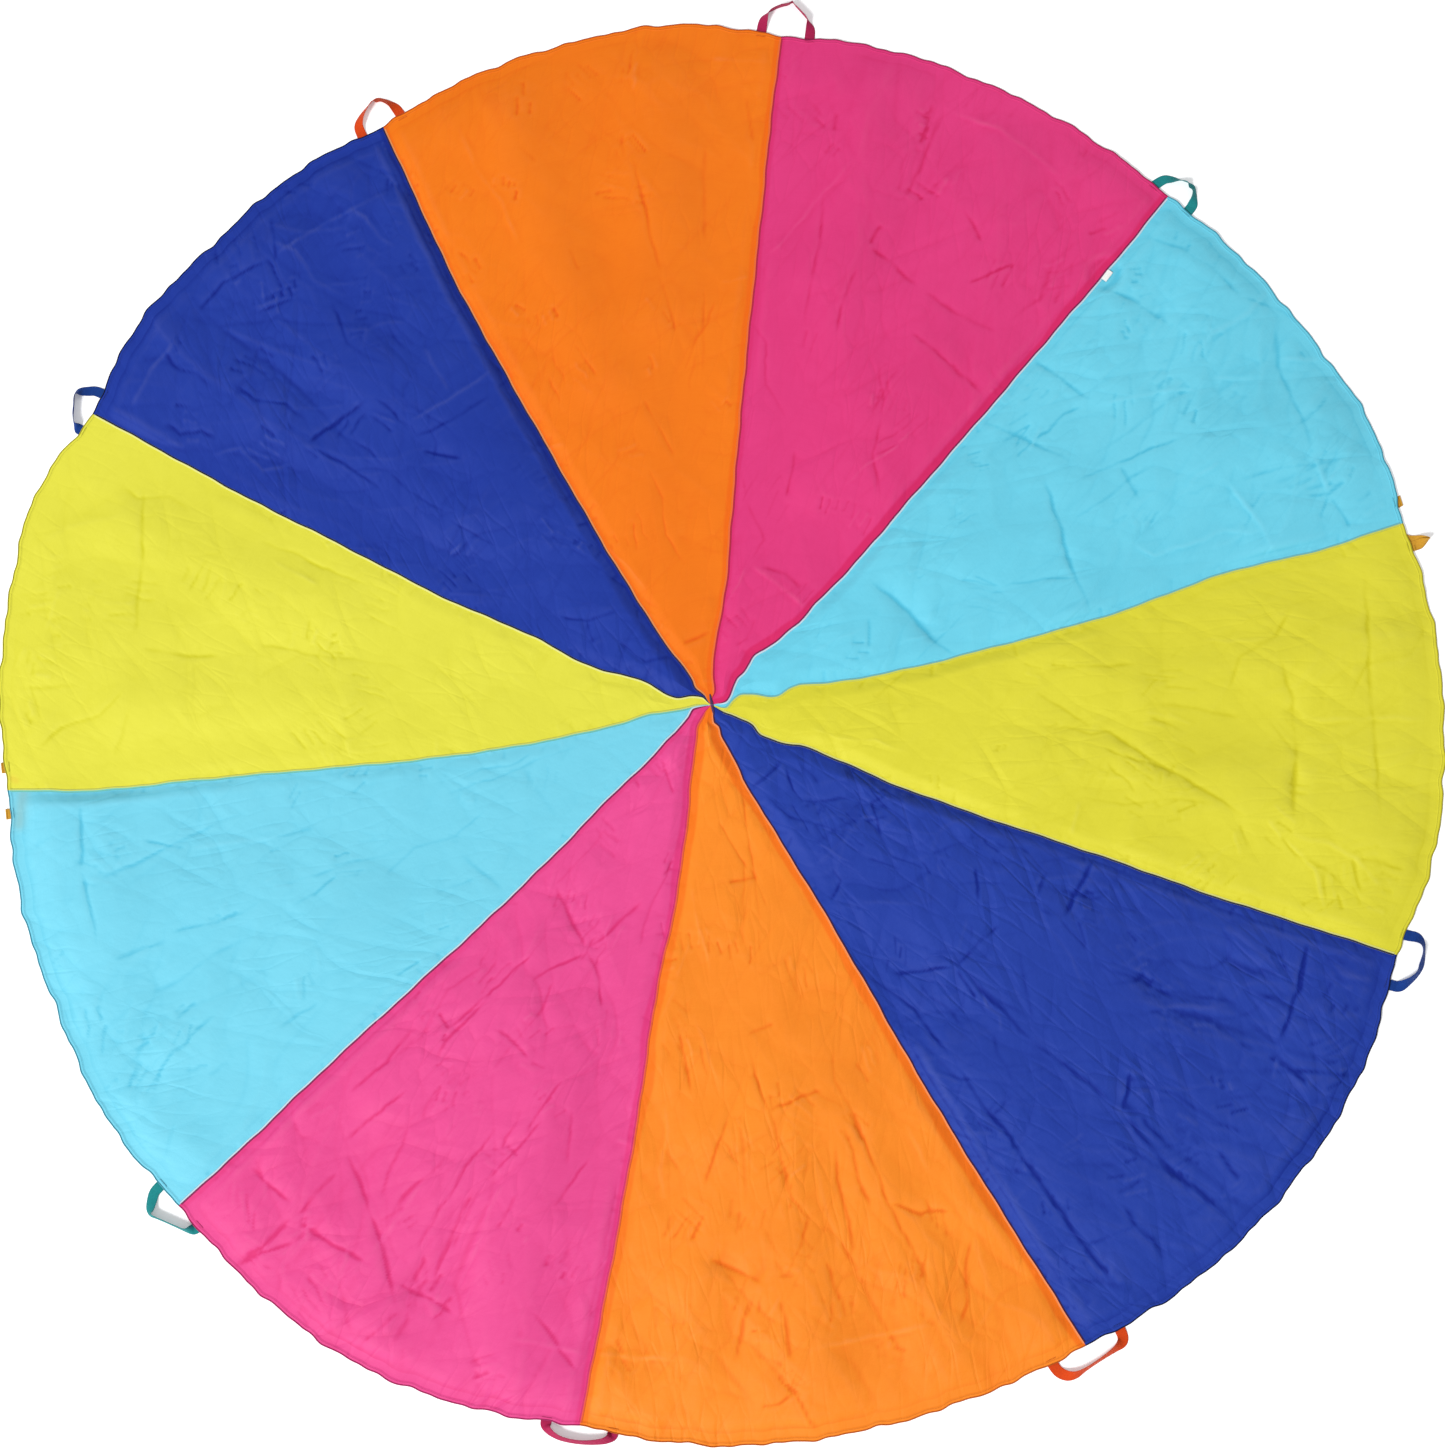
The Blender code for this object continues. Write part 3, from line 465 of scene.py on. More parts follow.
# creases read off the photograph: rise, width in millimetres, then the pixels that they run through, x and y by turns
pressed = (
    (1.6, 7, 395, 191, 330, 222, 271, 260), (-1.4, 7, 271, 260, 225, 285, 195, 316),
    (1.4, 8, 182, 335, 152, 372, 131, 411), (-0.9, 6, 271, 217, 275, 240, 277, 265),
    (2.2, 6, 497, 371, 450, 402, 405, 426), (-2.4, 9, 373, 397, 335, 425, 303, 446),
    (-1.4, 6, 373, 397, 395, 415, 411, 437), (-1.2, 6, 303, 446, 345, 466, 383, 491),
    (-1.4, 6, 411, 443, 455, 422, 497, 395), (-1.6, 6, 421, 453, 466, 461), (-1.3, 6, 559, 615, 587, 622, 622, 611),
    (-1.5, 6, 587, 622, 592, 634, 596, 646), (-1.5, 6, 615, 639, 646, 664, 678, 657),
    (-1.0, 7, 330, 300, 350, 345, 390, 370), (-1.2, 6, 627, 151, 645, 210, 661, 277),
    (-1.0, 6, 661, 277, 669, 305, 675, 337), (-0.8, 6, 706, 140, 704, 246), (-1.0, 5, 745, 95, 754, 147),
    (-0.8, 6, 518, 147, 538, 165), (-0.8, 6, 566, 246, 580, 274), (-0.7, 6, 704, 288, 703, 375),
    (1.0, 6, 720, 281, 752, 277), (1.0, 8, 706, 60, 740, 63, 776, 63), (1.2, 6, 601, 541, 628, 568, 650, 594),
    (-1.6, 14, 675, 534, 705, 548, 731, 555), (-1.4, 6, 682, 646, 696, 638, 710, 629), (-1.6, 5, 836, 112, 834, 133),
    (-1.4, 5, 827, 189, 818, 250, 803, 330), (-1.4, 6, 882, 225, 869, 249), (-2.0, 9, 869, 249, 892, 265, 917, 288),
    (-1.6, 12, 917, 288, 955, 315, 1000, 337), (-1.2, 6, 860, 267, 845, 300, 832, 337),
    (-1.6, 5, 906, 330, 945, 362, 983, 396), (-0.9, 6, 934, 102, 917, 151), (-1.0, 6, 906, 151, 896, 196),
    (1.2, 9, 941, 109, 1000, 130, 1029, 147, 1064, 183), (-1.0, 7, 962, 207, 980, 246), (-1.5, 5, 950, 363, 978, 391),
    (-1.2, 6, 738, 457, 748, 496), (-1.4, 6, 794, 450, 791, 478, 787, 503), (-1.6, 6, 748, 500, 765, 540, 750, 562),
    (1.8, 7, 750, 562, 787, 594, 806, 612), (1.5, 7, 750, 562, 740, 580, 722, 612),
    (-1.5, 6, 762, 566, 785, 574, 801, 592), (-1.3, 6, 734, 648, 748, 640, 757, 618),
    (-1.6, 10, 1139, 234, 1180, 252, 1212, 271, 1244, 303), (-3.8, 18, 1098, 287, 1140, 305, 1171, 328),
    (-1.8, 12, 1032, 360, 1092, 401), (1.5, 6, 1101, 404, 1160, 392, 1206, 391), (1.4, 6, 1209, 379, 1259, 379),
    (-1.6, 8, 1272, 316, 1278, 366, 1300, 420, 1316, 473), (1.3, 6, 1278, 360, 1326, 360),
    (-1.2, 7, 1244, 300, 1280, 312, 1307, 328), (-1.4, 7, 978, 420, 1030, 440, 1076, 467),
    (-2.2, 6, 1042, 478, 1062, 530, 1077, 583, 1091, 618), (-1.2, 7, 1119, 464, 1140, 503),
    (1.8, 7, 1224, 478, 1250, 510, 1267, 538, 1281, 562),
    (1.5, 6, 1130, 540, 1154, 555, 1196, 541, 1224, 531, 1260, 536), (1.8, 6, 1309, 450, 1326, 496),
    (-1.6, 6, 1326, 496, 1340, 512, 1351, 531), (-1.4, 5, 1300, 500, 1326, 496, 1345, 480),
    (-1.4, 5, 1326, 496, 1318, 520), (-1.0, 6, 1000, 587, 1045, 578, 1084, 580),
    (-4.4, 20, 868, 580, 905, 610, 941, 646), (-1.4, 6, 913, 618, 930, 640, 955, 657), (-1.2, 6, 870, 618, 868, 650),
    (-1.5, 8, 1363, 562, 1368, 640, 1372, 710, 1379, 829),
    (-4.6, 18, 1277, 646, 1292, 700, 1295, 748, 1290, 800, 1288, 829), (1.2, 6, 1288, 720, 1372, 718, 1435, 718),
    (0.9, 6, 1196, 641, 1274, 641), (-4.2, 19, 1091, 724, 1145, 758, 1196, 787, 1246, 822),
    (-1.0, 9, 1140, 706, 1246, 717), (-2.0, 14, 1032, 692, 1060, 708, 1091, 731),
    (1.6, 6, 1281, 836, 1316, 871, 1326, 916), (1.5, 6, 1281, 832, 1320, 842, 1354, 860, 1386, 899),
    (-1.4, 5, 1354, 860, 1410, 871), (1.4, 7, 1070, 836, 1076, 815, 1081, 797), (-1.3, 5, 1350, 856, 1358, 896),
    (-2.4, 6, 1060, 923, 1078, 890, 1095, 857), (-1.8, 5, 1046, 871, 1032, 902, 1039, 913, 1058, 923),
    (-2.2, 6, 1058, 923, 1072, 936, 1086, 951), (-1.6, 5, 1086, 951, 1080, 935, 1074, 920),
    (-1.5, 6, 1102, 955, 1135, 975, 1168, 990), (-1.6, 7, 1309, 937, 1303, 965, 1298, 997),
    (-5.0, 17, 1018, 941, 1024, 970, 1032, 1023), (-1.8, 5, 752, 787, 765, 778, 783, 759),
    (-1.8, 5, 783, 759, 794, 790, 804, 801, 864, 797), (-1.6, 6, 871, 797, 882, 840),
    (-2.0, 5, 829, 903, 843, 882, 832, 867), (-2.0, 8, 976, 864, 978, 890, 976, 913),
    (-2.2, 6, 955, 969, 975, 945, 1000, 927), (-1.8, 6, 889, 973, 920, 975, 955, 969),
    (-1.8, 6, 955, 969, 965, 985, 976, 1000), (-2.0, 6, 860, 968, 890, 992, 916, 1013, 955, 1066),
    (-2.8, 9, 955, 962, 985, 995, 1026, 1035, 1070, 1072, 1117, 1108),
    (-2.4, 7, 1117, 1108, 1150, 1142, 1171, 1171, 1237, 1228), (-2.0, 6, 1139, 1114, 1177, 1152),
    (-2.6, 8, 948, 1057, 985, 1110, 1019, 1155, 1070, 1228, 1120, 1297),
    (-5.0, 16, 1130, 1070, 1127, 1092, 1120, 1114), (-1.5, 5, 1086, 956, 1130, 978, 1177, 1000),
    (-1.5, 5, 1177, 1000, 1212, 1023, 1256, 1054), (1.8, 5, 1190, 1026, 1221, 1026),
    (-1.8, 5, 1259, 1054, 1285, 1068, 1307, 1089), (1.5, 5, 1275, 1058, 1270, 1080),
    (-1.8, 7, 1307, 950, 1297, 988, 1285, 1020, 1272, 1048), (-1.4, 7, 1108, 1136, 1140, 1155, 1168, 1171),
    (-1.2, 6, 1083, 1247, 1139, 1225), (-1.0, 5, 1215, 1150, 1240, 1185),
    (-1.6, 5, 745, 1034, 752, 1076, 773, 1129, 787, 1189, 808, 1217, 801, 1241, 780, 1290),
    (-1.6, 5, 766, 1113, 800, 1097, 829, 1087), (-1.2, 5, 745, 1034, 773, 1024),
    (-1.4, 5, 678, 1027, 685, 1060, 692, 1097), (-1.1, 5, 741, 1111, 743, 1160, 745, 1210),
    (-1.4, 6, 731, 1115, 718, 1150, 703, 1192),
    (-1.6, 5, 832, 1041, 836, 1080, 867, 1143, 885, 1203, 917, 1259, 945, 1318),
    (-2.0, 6, 846, 1108, 855, 1125, 867, 1143), (-1.5, 7, 885, 1203, 920, 1214, 955, 1210),
    (1.3, 6, 748, 1294, 780, 1290), (-1.4, 5, 748, 1297, 742, 1330, 734, 1364),
    (-1.4, 5, 780, 1294, 786, 1340, 790, 1364), (-4.0, 15, 710, 1259, 740, 1272, 766, 1287),
    (-1.3, 5, 822, 1259, 834, 1290, 846, 1322), (1.4, 7, 801, 1353, 870, 1335, 941, 1322),
    (-1.5, 5, 759, 1406, 780, 1404, 794, 1395), (-1.6, 5, 787, 1385, 796, 1397, 818, 1434),
    (1.2, 6, 590, 1350, 635, 1357, 681, 1360), (1.2, 6, 506, 1339, 550, 1345, 590, 1353),
    (-1.4, 5, 717, 822, 731, 843, 748, 871), (-1.3, 5, 724, 882, 745, 880, 759, 875),
    (-1.4, 5, 748, 864, 758, 888, 766, 910), (1.2, 6, 690, 880, 700, 930, 712, 980),
    (-2.6, 8, 346, 1148, 365, 1200, 385, 1262, 389, 1282, 395, 1314), (-1.8, 5, 348, 1093, 385, 1064, 421, 1027),
    (-1.6, 5, 344, 1141, 378, 1115, 411, 1087), (-1.5, 5, 297, 1218, 318, 1192, 341, 1170),
    (-1.6, 6, 249, 1164, 272, 1185, 297, 1205), (-2.0, 5, 233, 1269, 270, 1240, 297, 1215),
    (-1.8, 5, 233, 1269, 265, 1250, 297, 1240), (-2.2, 8, 297, 1218, 335, 1245, 376, 1272),
    (-1.5, 5, 411, 1259, 440, 1212, 466, 1167, 500, 1122), (-1.6, 5, 430, 1288, 450, 1240, 478, 1183),
    (-2.2, 7, 434, 1065, 450, 1042, 488, 1004, 500, 982), (-1.6, 5, 440, 1014, 453, 1033),
    (-1.4, 6, 389, 1282, 425, 1300, 456, 1317), (-1.2, 6, 360, 1349, 380, 1330, 402, 1310),
    (-1.8, 5, 450, 1034, 499, 989, 531, 957), (-1.5, 5, 534, 1020, 545, 1000, 555, 982),
    (-1.8, 5, 524, 1139, 545, 1108, 566, 1076), (-1.6, 5, 485, 1181, 518, 1150, 548, 1118),
    (-1.4, 5, 555, 1210, 572, 1185, 590, 1157), (-1.6, 5, 496, 1234, 510, 1212, 520, 1192),
    (-1.3, 5, 569, 1167, 573, 1108), (-1.2, 6, 450, 1252, 468, 1215, 485, 1178),
    (-2.6, 9, 587, 948, 608, 934, 646, 899), (-2.0, 7, 552, 885, 570, 920, 587, 948),
    (-2.0, 7, 531, 983, 560, 966, 587, 952), (-1.6, 6, 587, 948, 598, 980, 600, 1010),
    (-1.4, 5, 661, 755, 668, 778, 675, 797), (-2.2, 16, 520, 766, 538, 792, 555, 818),
    (-1.6, 10, 461, 853, 485, 872, 506, 892), (-1.6, 5, 81, 794, 84, 864, 92, 910, 102, 955),
    (-1.6, 5, 144, 841, 165, 844, 189, 848), (1.2, 5, 189, 848, 240, 842, 295, 839),
    (-1.4, 5, 172, 936, 220, 922, 267, 902), (-1.2, 5, 116, 962, 145, 950, 172, 941),
    (-1.4, 5, 291, 909, 318, 894, 344, 874), (-1.3, 6, 140, 1103, 172, 1058, 223, 1011),
    (-1.3, 6, 131, 1093, 143, 1055), (-1.1, 5, 277, 1030, 322, 1001), (-1.3, 5, 396, 980, 424, 962),
    (1.1, 6, 61, 587, 52, 612, 46, 636), (-1.6, 9, 144, 482, 141, 560, 135, 646),
    (-1.2, 8, 140, 650, 180, 655, 224, 657), (-0.8, 6, 7, 688, 84, 687), (-0.9, 8, 133, 706, 124, 735, 112, 759),
    (-0.8, 7, 230, 640, 300, 655, 420, 668),
)


def randomCell(u, v, cells, seed):  # the place in its cell of a random grid, and the values at the four corners
    lattice = np.random.default_rng(seed).uniform(-1, 1, (cells + 1, cells + 1))
    u, v = u + cells // 2, v + cells // 2
    i, j = np.floor(u).astype(int), np.floor(v).astype(int)
    s, t = u - i, v - j
    i, j = i % cells, j % cells
    return s, t, lattice[i, j], lattice[i + 1, j], lattice[i, j + 1], lattice[i + 1, j + 1]


def swell(x, y, waves, seed):
    s, t, low, right, top, far = randomCell(x * waves, y * waves, 96, seed)
    s, t = smoothStep(s), smoothStep(t)
    return (low * (1 - s) + right * s) * (1 - t) + (top * (1 - s) + far * s) * t


def bentRun(x, y, heading, length, bend):
    steps = [(0.0, 0.0)]
    for turn in (bend, -0.3 * bend, bend):
        px, py = steps[-1]
        steps.append((px + math.cos(heading + turn) * length / 3, py + math.sin(heading + turn) * length / 3))
    return np.array(steps) - np.mean(steps, axis=0) + (x, y)


creaseLook = {
    "height": 0.00105,  # for a rise of 1
    "steep": 0.8,  # width shares on the two sides of a crease
    "gentle": 1.9,
    "ends": 0.22,  # share of its length over which a crease dies out
    # strength and width of the painted shade along a crease, and of the painted highlight along a ridge
    "shade": 0.36,
    "lineShare": 0.55,
    "lineMost": 0.0042,
    "broad": 0.009,  # wider ones than this show less as a line
}


def scatterCreases():
    rng = np.random.default_rng(21)
    made = []
    for gore, strength in cloth["crumple"].items():
        for _ in range(round(cloth["longCreases"] * strength)):
            x, y = planPoint(gore, rng.uniform(0.08, 0.92), math.sqrt(rng.uniform(0.02, 0.9)))
            heading = math.atan2(y, x) + rng.normal(0, 0.3)
            run = bentRun(x, y, heading, rng.uniform(0.10, 0.34), rng.normal(0, 0.25))
            made.append((rng.uniform(0.7, 1.5) * rng.choice((-1, -1, 1)), rng.uniform(5.0, 8.0), run))
        for _ in range(round(cloth["bundles"] * (0.3 + 0.7 * strength))):
            x, y = planPoint(gore, rng.uniform(0.05, 0.95), math.sqrt(rng.uniform(0.01, 0.96)))
            heading = math.atan2(y, x) + (rng.normal(0, 0.35) if rng.uniform() < 0.75 else rng.normal(1.3, 0.4))
            length, pitch = rng.uniform(0.030, 0.090), rng.uniform(0.011, 0.022)
            for k in range(rng.integers(2, 7)):
                aside, ahead = (k - 2) * pitch * rng.uniform(0.8, 1.2), rng.normal(0, 0.25) * length
                px = x - math.sin(heading) * aside + math.cos(heading) * ahead
                py = y + math.cos(heading) * aside + math.sin(heading) * ahead
                run = bentRun(px, py, heading + rng.normal(0, 0.1), length * rng.uniform(0.5, 1.2), rng.normal(0, 0.15))
                made.append((rng.uniform(0.35, 1.1) * rng.choice((-1, -1, -1, 1)), rng.uniform(3.2, 4.8), run))
    for seam in range(1, 11):
        out = 0.03
        while out < 1.46:
            angle = float(seamAngle(seam, out / plan["radius"]))
            spot = np.array((math.cos(angle), math.sin(angle))) * out
            lean = angle + math.pi / 2 + rng.normal(0, 0.5)
            reach = 0.012 * min(out / 0.25, 1) + rng.uniform(0.006, 0.030)
            ahead, behind = rng.uniform(0.2, 1, 2) * reach
            run = np.array((math.cos(lean), math.sin(lean)))
            rise = rng.uniform(0.25, 0.9) * rng.choice((-1, -1, 1))
            made.append((rise, rng.uniform(3.4, 5.5), np.array((spot - run * behind, spot, spot + run * ahead))))
            out += rng.uniform(0.4, 1.6) * (0.012 + 0.022 * min(out / 0.6, 1))
    for rise, width, *pixels in pressed:
        made.append((rise, width, np.array(floorSpots(pixels))))
    return made


creases = scatterCreases()
print(len(creases), "creases laid out")


def nearRun(x, y, start, end):  # how far along a straight run each spot is, 0 to 1, and how far off it
    (ax, ay), (bx, by) = start, end
    t = np.clip(((x - ax) * (bx - ax) + (y - ay) * (by - ay)) / ((bx - ax) ** 2 + (by - ay) ** 2), 0, 1)
    return t, np.hypot(x - ax - (bx - ax) * t, y - ay - (by - ay) * t)


def creaseField(x, y):  # height, and the painted shade along valley creases (below zero, painted highlight along ridges)
    height, shade = np.zeros_like(x), np.zeros_like(x)
    uneven = np.clip(1 + 0.75 * swell(x, y, 26.0, 35), 0.3, 1.6)
    for seed, waves, size in cloth["wander"]:
        x, y = x + size * swell(x, y, waves, seed), y + size * swell(x, y, waves, seed + 1)
    for rise, width, points in creases:
        width = width * 0.001
        pad = 7 * width
        (left, low), (right, high) = points.min(axis=0) - pad, points.max(axis=0) + pad
        near = np.flatnonzero((x > left) & (x < right) & (y > low) & (y < high))
        if not len(near):
            continue
        px, py = x[near], y[near]
        away, place, run = np.full(len(near), 9.0), np.zeros(len(near)), 0.0
        wide = np.ones(len(near))
        for (ax, ay), (bx, by) in zip(points, points[1:]):
            step = math.hypot(bx - ax, by - ay)
            t, distance = nearRun(px, py, (ax, ay), (bx, by))
            place = np.where(distance < away, run + t * step, place)
            side = (bx - ax) * (py - ay) - (by - ay) * (px - ax)
            wide = np.where(distance < away, np.where(side > 0, creaseLook["gentle"], creaseLook["steep"]), wide)
            away = np.minimum(away, distance)
            run += step
        fade = creaseLook["ends"] * run
        ends = smoothStep(place / fade) * smoothStep((run - place) / fade) * uneven[near]
        height[near] += rise * creaseLook["height"] * ends * np.exp(-np.sqrt(away**2 + 1e-6) / (width * wide))
        # painted shade along the crease, painted highlight where it is a ridge
        line = min(creaseLook["lineShare"] * width, creaseLook["lineMost"])
        depth = creaseLook["shade"] * min(1, (creaseLook["broad"] / width) ** 2)
        shade[near] -= rise * depth * ends * np.exp(-((away / line) ** 2))
    return height, np.clip(shade, -1, 1)


def facetField(x, y, size, height, seed):  # flat tilted patches that meet in creases
    u, v = (c / size + cloth["warp"] * swell(x, y, 0.8 / size, seed + n) for n, c in ((1, x), (2, y)))
    s, t, low, right, top, far = randomCell(u, v, 64, seed)
    lower = low + (right - low) * s + (far - right) * t
    upper = low + (far - top) * s + (top - low) * t
    return height * np.where(s > t, lower, upper)


def footRise(x, y):
    rise = np.zeros_like(x)
    for middle, along, outward, _ in hinges.values():
        dx, dy = x - middle.x, y - middle.y
        sideways = np.maximum(np.abs(dx * along.x + dy * along.y) - cloth["footHalfWidth"], 0)
        inwards = np.maximum(-(dx * outward.x + dy * outward.y) - cloth["footDepth"], 0)
        distance = np.hypot(sideways, inwards)
        rise = np.maximum(rise, cloth["footLift"] * (1 - smoothStep(distance / cloth["footFade"])))
    return rise


def foldRise(gore, x, y, seamDistance):
    rise = np.zeros_like(x)
    for acrossA, outA, acrossB, outB, size in cloth["folds"][gore]:
        distance = nearRun(x, y, planPoint(gore, acrossA, outA), planPoint(gore, acrossB, outB))[1]
        rise += size * cloth["foldHeight"] * np.exp(-((distance / (size * cloth["foldWidth"])) ** 2))
    rise = cloth["foldHeight"] * np.tanh(rise / cloth["foldHeight"])
    return rise * smoothStep(seamDistance / cloth["foldClear"])


def clothHeight(gore, across, share, x, y):
    width = goreWidth(gore, share)
    seamDistance = np.minimum(across, 1 - across) * width
    rimDistance = (1 - share) * plan["radius"]
    soft = np.zeros_like(x)
    for n, (waves, height) in enumerate(cloth["swells"]):
        soft += height * (swell(x, y, waves, 40 + n) + 0.35)
    left, whole = cloth["rimRelief"]
    edge = left + (1 - left) * smoothStep(rimDistance / whole)
    lines, shade = creaseField(x, y)
    first, second = goreAngles(gore, 1.0)
    inside = smoothStep(seamDistance / cloth["seamFlat"]) * smoothStep(rimDistance / cloth["rimFlat"])
    inside = inside * cloth["crumple"][gore]
    soft += cloth["puff"] * inside
    for n, (size, height) in enumerate(cloth["facets"]):
        patch = 0.4 + 0.6 * smoothStep(0.5 + 1.3 * swell(x, y, 3.1, 90 + n))
        lean = float(first + second) / 2 + 0.35 * (n - 1)
        along, aside = x * math.cos(lean) + y * math.sin(lean), y * math.cos(lean) - x * math.sin(lean)
        soft += facetField(aside, along * 0.6, size, height, 60 + 10 * n + gore) * inside * patch
    hem = cloth["hemHeight"] * smoothStep((cloth["hemWidth"] - rimDistance) / cloth["hemEdge"] + 0.5)
    lift = footRise(x, y)
    seam, at, radius, fade, kept = cloth["calm"]
    labelX, labelY = planPoint(seam, 0.0, at)
    calm = kept + (1 - kept) * smoothStep((np.hypot(x - labelX, y - labelY) - radius) / fade)
    z = lift + foldRise(gore, x, y, seamDistance) + (soft * edge + lines * (0.4 + 0.6 * edge)) * calm
    start, room = cloth["peaks"]
    z = np.where(z < start, z, start + room * np.tanh((z - start) / room))
    low, floor = cloth["ground"], lift + cloth["ground"]
    z = np.where(z > floor + low, z, floor + low * np.exp((np.minimum(z, floor + low) - floor - low) / low))
    return z + hem, shade


def setFloats(mesh, name, values):
    mesh.attributes.new(name, "FLOAT", "POINT").data.foreach_set("value", np.asarray(values, np.float32))


def setUv(mesh, u, v):
    loops = np.empty(len(mesh.loops), np.int32)
    mesh.loops.foreach_get("vertex_index", loops)
    layer = mesh.uv_layers.new(name="run")
    layer.data.foreach_set("uv", np.column_stack((u[loops], v[loops])).astype(np.float32).ravel())


def gridPiece(name, columns, rows):  # a unit grid, and each vertex's place across and along it
    bm = bmesh.new()
    bmesh.ops.create_grid(bm, x_segments=columns, y_segments=rows, size=0.5)
    made = newPiece(name, bm)
    spots = np.empty(len(made.data.vertices) * 3, np.float32)
    made.data.vertices.foreach_get("co", spots)
    spots = spots.reshape(-1, 3).astype(float)
    return made, spots[:, 0] + 0.5, spots[:, 1] + 0.5


def setPlaces(mesh, x, y, z):
    mesh.vertices.foreach_set("co", np.column_stack((x, y, z)).astype(np.float32).ravel())
    mesh.update()


def foldAlong(piece):  # bakes the piece's placement into its mesh
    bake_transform(piece)


def put(tree, kind, inputs=None, **settings):
    made = tree.nodes.new(kind)
    for name, value in settings.items():
        setattr(made, name, value)
    for name, value in (inputs or {}).items():
        feed(tree, made.inputs[name], value)
    return made


def feed(tree, socket, value):
    if isinstance(value, bpy.types.NodeSocket):
        tree.links.new(value, socket)
    else:
        socket.default_value = value


def maths(tree, operation, *values):
    made = put(tree, "ShaderNodeMath", operation=operation)
    for socket, value in zip(made.inputs, values):
        feed(tree, socket, value)
    return made.outputs[0]


def times(tree, first, second):
    return maths(tree, "MULTIPLY", first, second)


def plus(tree, total, *others):
    for value in others:
        total = maths(tree, "ADD", total, value)
    return total


def noise(tree, vector, scale, detail):
    return put(tree, "ShaderNodeTexNoise", {"Vector": vector, "Scale": scale, "Detail": detail}).outputs["Fac"]


def attribute(tree, name):
    return put(tree, "ShaderNodeAttribute", attribute_name=name).outputs["Fac"]


def readRun(tree):  # the piece's own map, and its two parts
    run = put(tree, "ShaderNodeUVMap", uv_map="run").outputs["UV"]
    parts = put(tree, "ShaderNodeSeparateXYZ", {"Vector": run}).outputs
    return run, parts["X"], parts["Y"]


def mixColours(tree, factor, first, second):
    made = put(tree, "ShaderNodeMix", data_type="RGBA", blend_type="MIX")
    for index, value in ((0, factor), (6, first), (7, second)):
        feed(tree, made.inputs[index], (*value, 1.0) if isinstance(value, tuple) and len(value) == 3 else value)
    return made.outputs[2]


def ramp(tree, value, low, high, fromLow=0.0, fromHigh=1.0):
    made = put(tree, "ShaderNodeMapRange", {
        "Value": value, "From Min": fromLow, "From Max": fromHigh, "To Min": low, "To Max": high,
    })
    return made.outputs["Result"]


def newGroup(name, inputs, outputs):
    tree = bpy.data.node_groups.new(name, "ShaderNodeTree")
    for label, kind, value in inputs:
        socket = tree.interface.new_socket(label, in_out="INPUT", socket_type=kind)
        if value is not None:
            socket.default_value = value
    for label in outputs:
        tree.interface.new_socket(label, in_out="OUTPUT", socket_type="NodeSocketFloat")
    return tree, tree.nodes.new("NodeGroupInput").outputs, tree.nodes.new("NodeGroupOutput").inputs


def useGroup(tree, group, inputs):
    made = tree.nodes.new("ShaderNodeGroup")
    made.node_tree = group
    for name, value in inputs.items():
        feed(tree, made.inputs[name], value)
    return made.outputs


def makeWeave():  # crossing threads, with the odd thick one
    tree, given, out = newGroup(
        "weave", [("Vector", "NodeSocketVector", None), ("Threads", "NodeSocketFloat", 800.0)], ["Height", "Slub"]
    )
    warp, weft = (
        put(tree, "ShaderNodeTexWave", {"Vector": given["Vector"], "Scale": given["Threads"]},
            wave_type="BANDS", bands_direction=direction).outputs["Fac"]
        for direction in "XY"
    )
    tree.links.new(maths(tree, "MAXIMUM", warp, weft), out["Height"])
    long = put(tree, "ShaderNodeVectorMath", {0: given["Vector"], 1: (9.0, 520.0, 1.0)}, operation="MULTIPLY")
    tree.links.new(noise(tree, long.outputs[0], 1.0, 2.0), out["Slub"])
    return tree


def makeCrumple():  # a net of fine creases left by packing, in patches, with painted shade along their lines
    tree, given, out = newGroup("crumple", [
        ("Vector", "NodeSocketVector", None), ("Place", "NodeSocketVector", None), ("Scale", "NodeSocketFloat", 20.0),
    ], ["Height", "PaintedShadeLines"])
    loose = put(tree, "ShaderNodeTexNoise", {"Vector": given["Vector"], "Scale": given["Scale"], "Detail": 1.0})
    shift = put(tree, "ShaderNodeVectorMath", {0: loose.outputs["Color"], 1: (0.5, 0.5, 0.5)}, operation="SUBTRACT")
    reach = maths(tree, "DIVIDE", 0.45, given["Scale"])
    far = put(tree, "ShaderNodeVectorMath", {0: shift.outputs[0]}, operation="SCALE")
    tree.links.new(reach, far.inputs["Scale"])
    spot = put(tree, "ShaderNodeVectorMath", {0: given["Vector"], 1: far.outputs[0]}, operation="ADD")
    cells = put(tree, "ShaderNodeTexVoronoi", {"Vector": spot.outputs[0], "Scale": given["Scale"]},
                feature="DISTANCE_TO_EDGE")
    # painted shade along the fine crease lines, in patches
    lines = ramp(tree, cells.outputs["Distance"], 1.0, 0.0, 0.0, 0.055)
    some = ramp(tree, noise(tree, given["Place"], 4.5, 2.0), 0.25, 1.0, 0.44, 0.66)
    tree.links.new(times(tree, lines, some), out["PaintedShadeLines"])
    facets = maths(tree, "MINIMUM", cells.outputs["Distance"], 0.14)
    tree.links.new(times(tree, facets, some), out["Height"])
    return tree


def makeStitches():  # a row of short stitches along a run
    tree, given, out = newGroup("stitches", [
        ("Along", "NodeSocketFloat", 0.0), ("Across", "NodeSocketFloat", 0.0), ("Row", "NodeSocketFloat", 0.0),
        ("Pitch", "NodeSocketFloat", 0.003), ("Width", "NodeSocketFloat", 0.0008), ("Length", "NodeSocketFloat", 0.7),
    ], ["Mask"])
    step = maths(tree, "FRACT", maths(tree, "DIVIDE", given["Along"], given["Pitch"]))
    dash = maths(tree, "LESS_THAN", step, given["Length"])
    off = maths(tree, "ABSOLUTE", maths(tree, "SUBTRACT", given["Across"], given["Row"]))
    line = maths(tree, "LESS_THAN", off, times(tree, given["Width"], 0.5))
    tree.links.new(times(tree, dash, line), out["Mask"])
    return tree


weaveGroup, crumpleGroup, stitchGroup = makeWeave(), makeCrumple(), makeStitches()


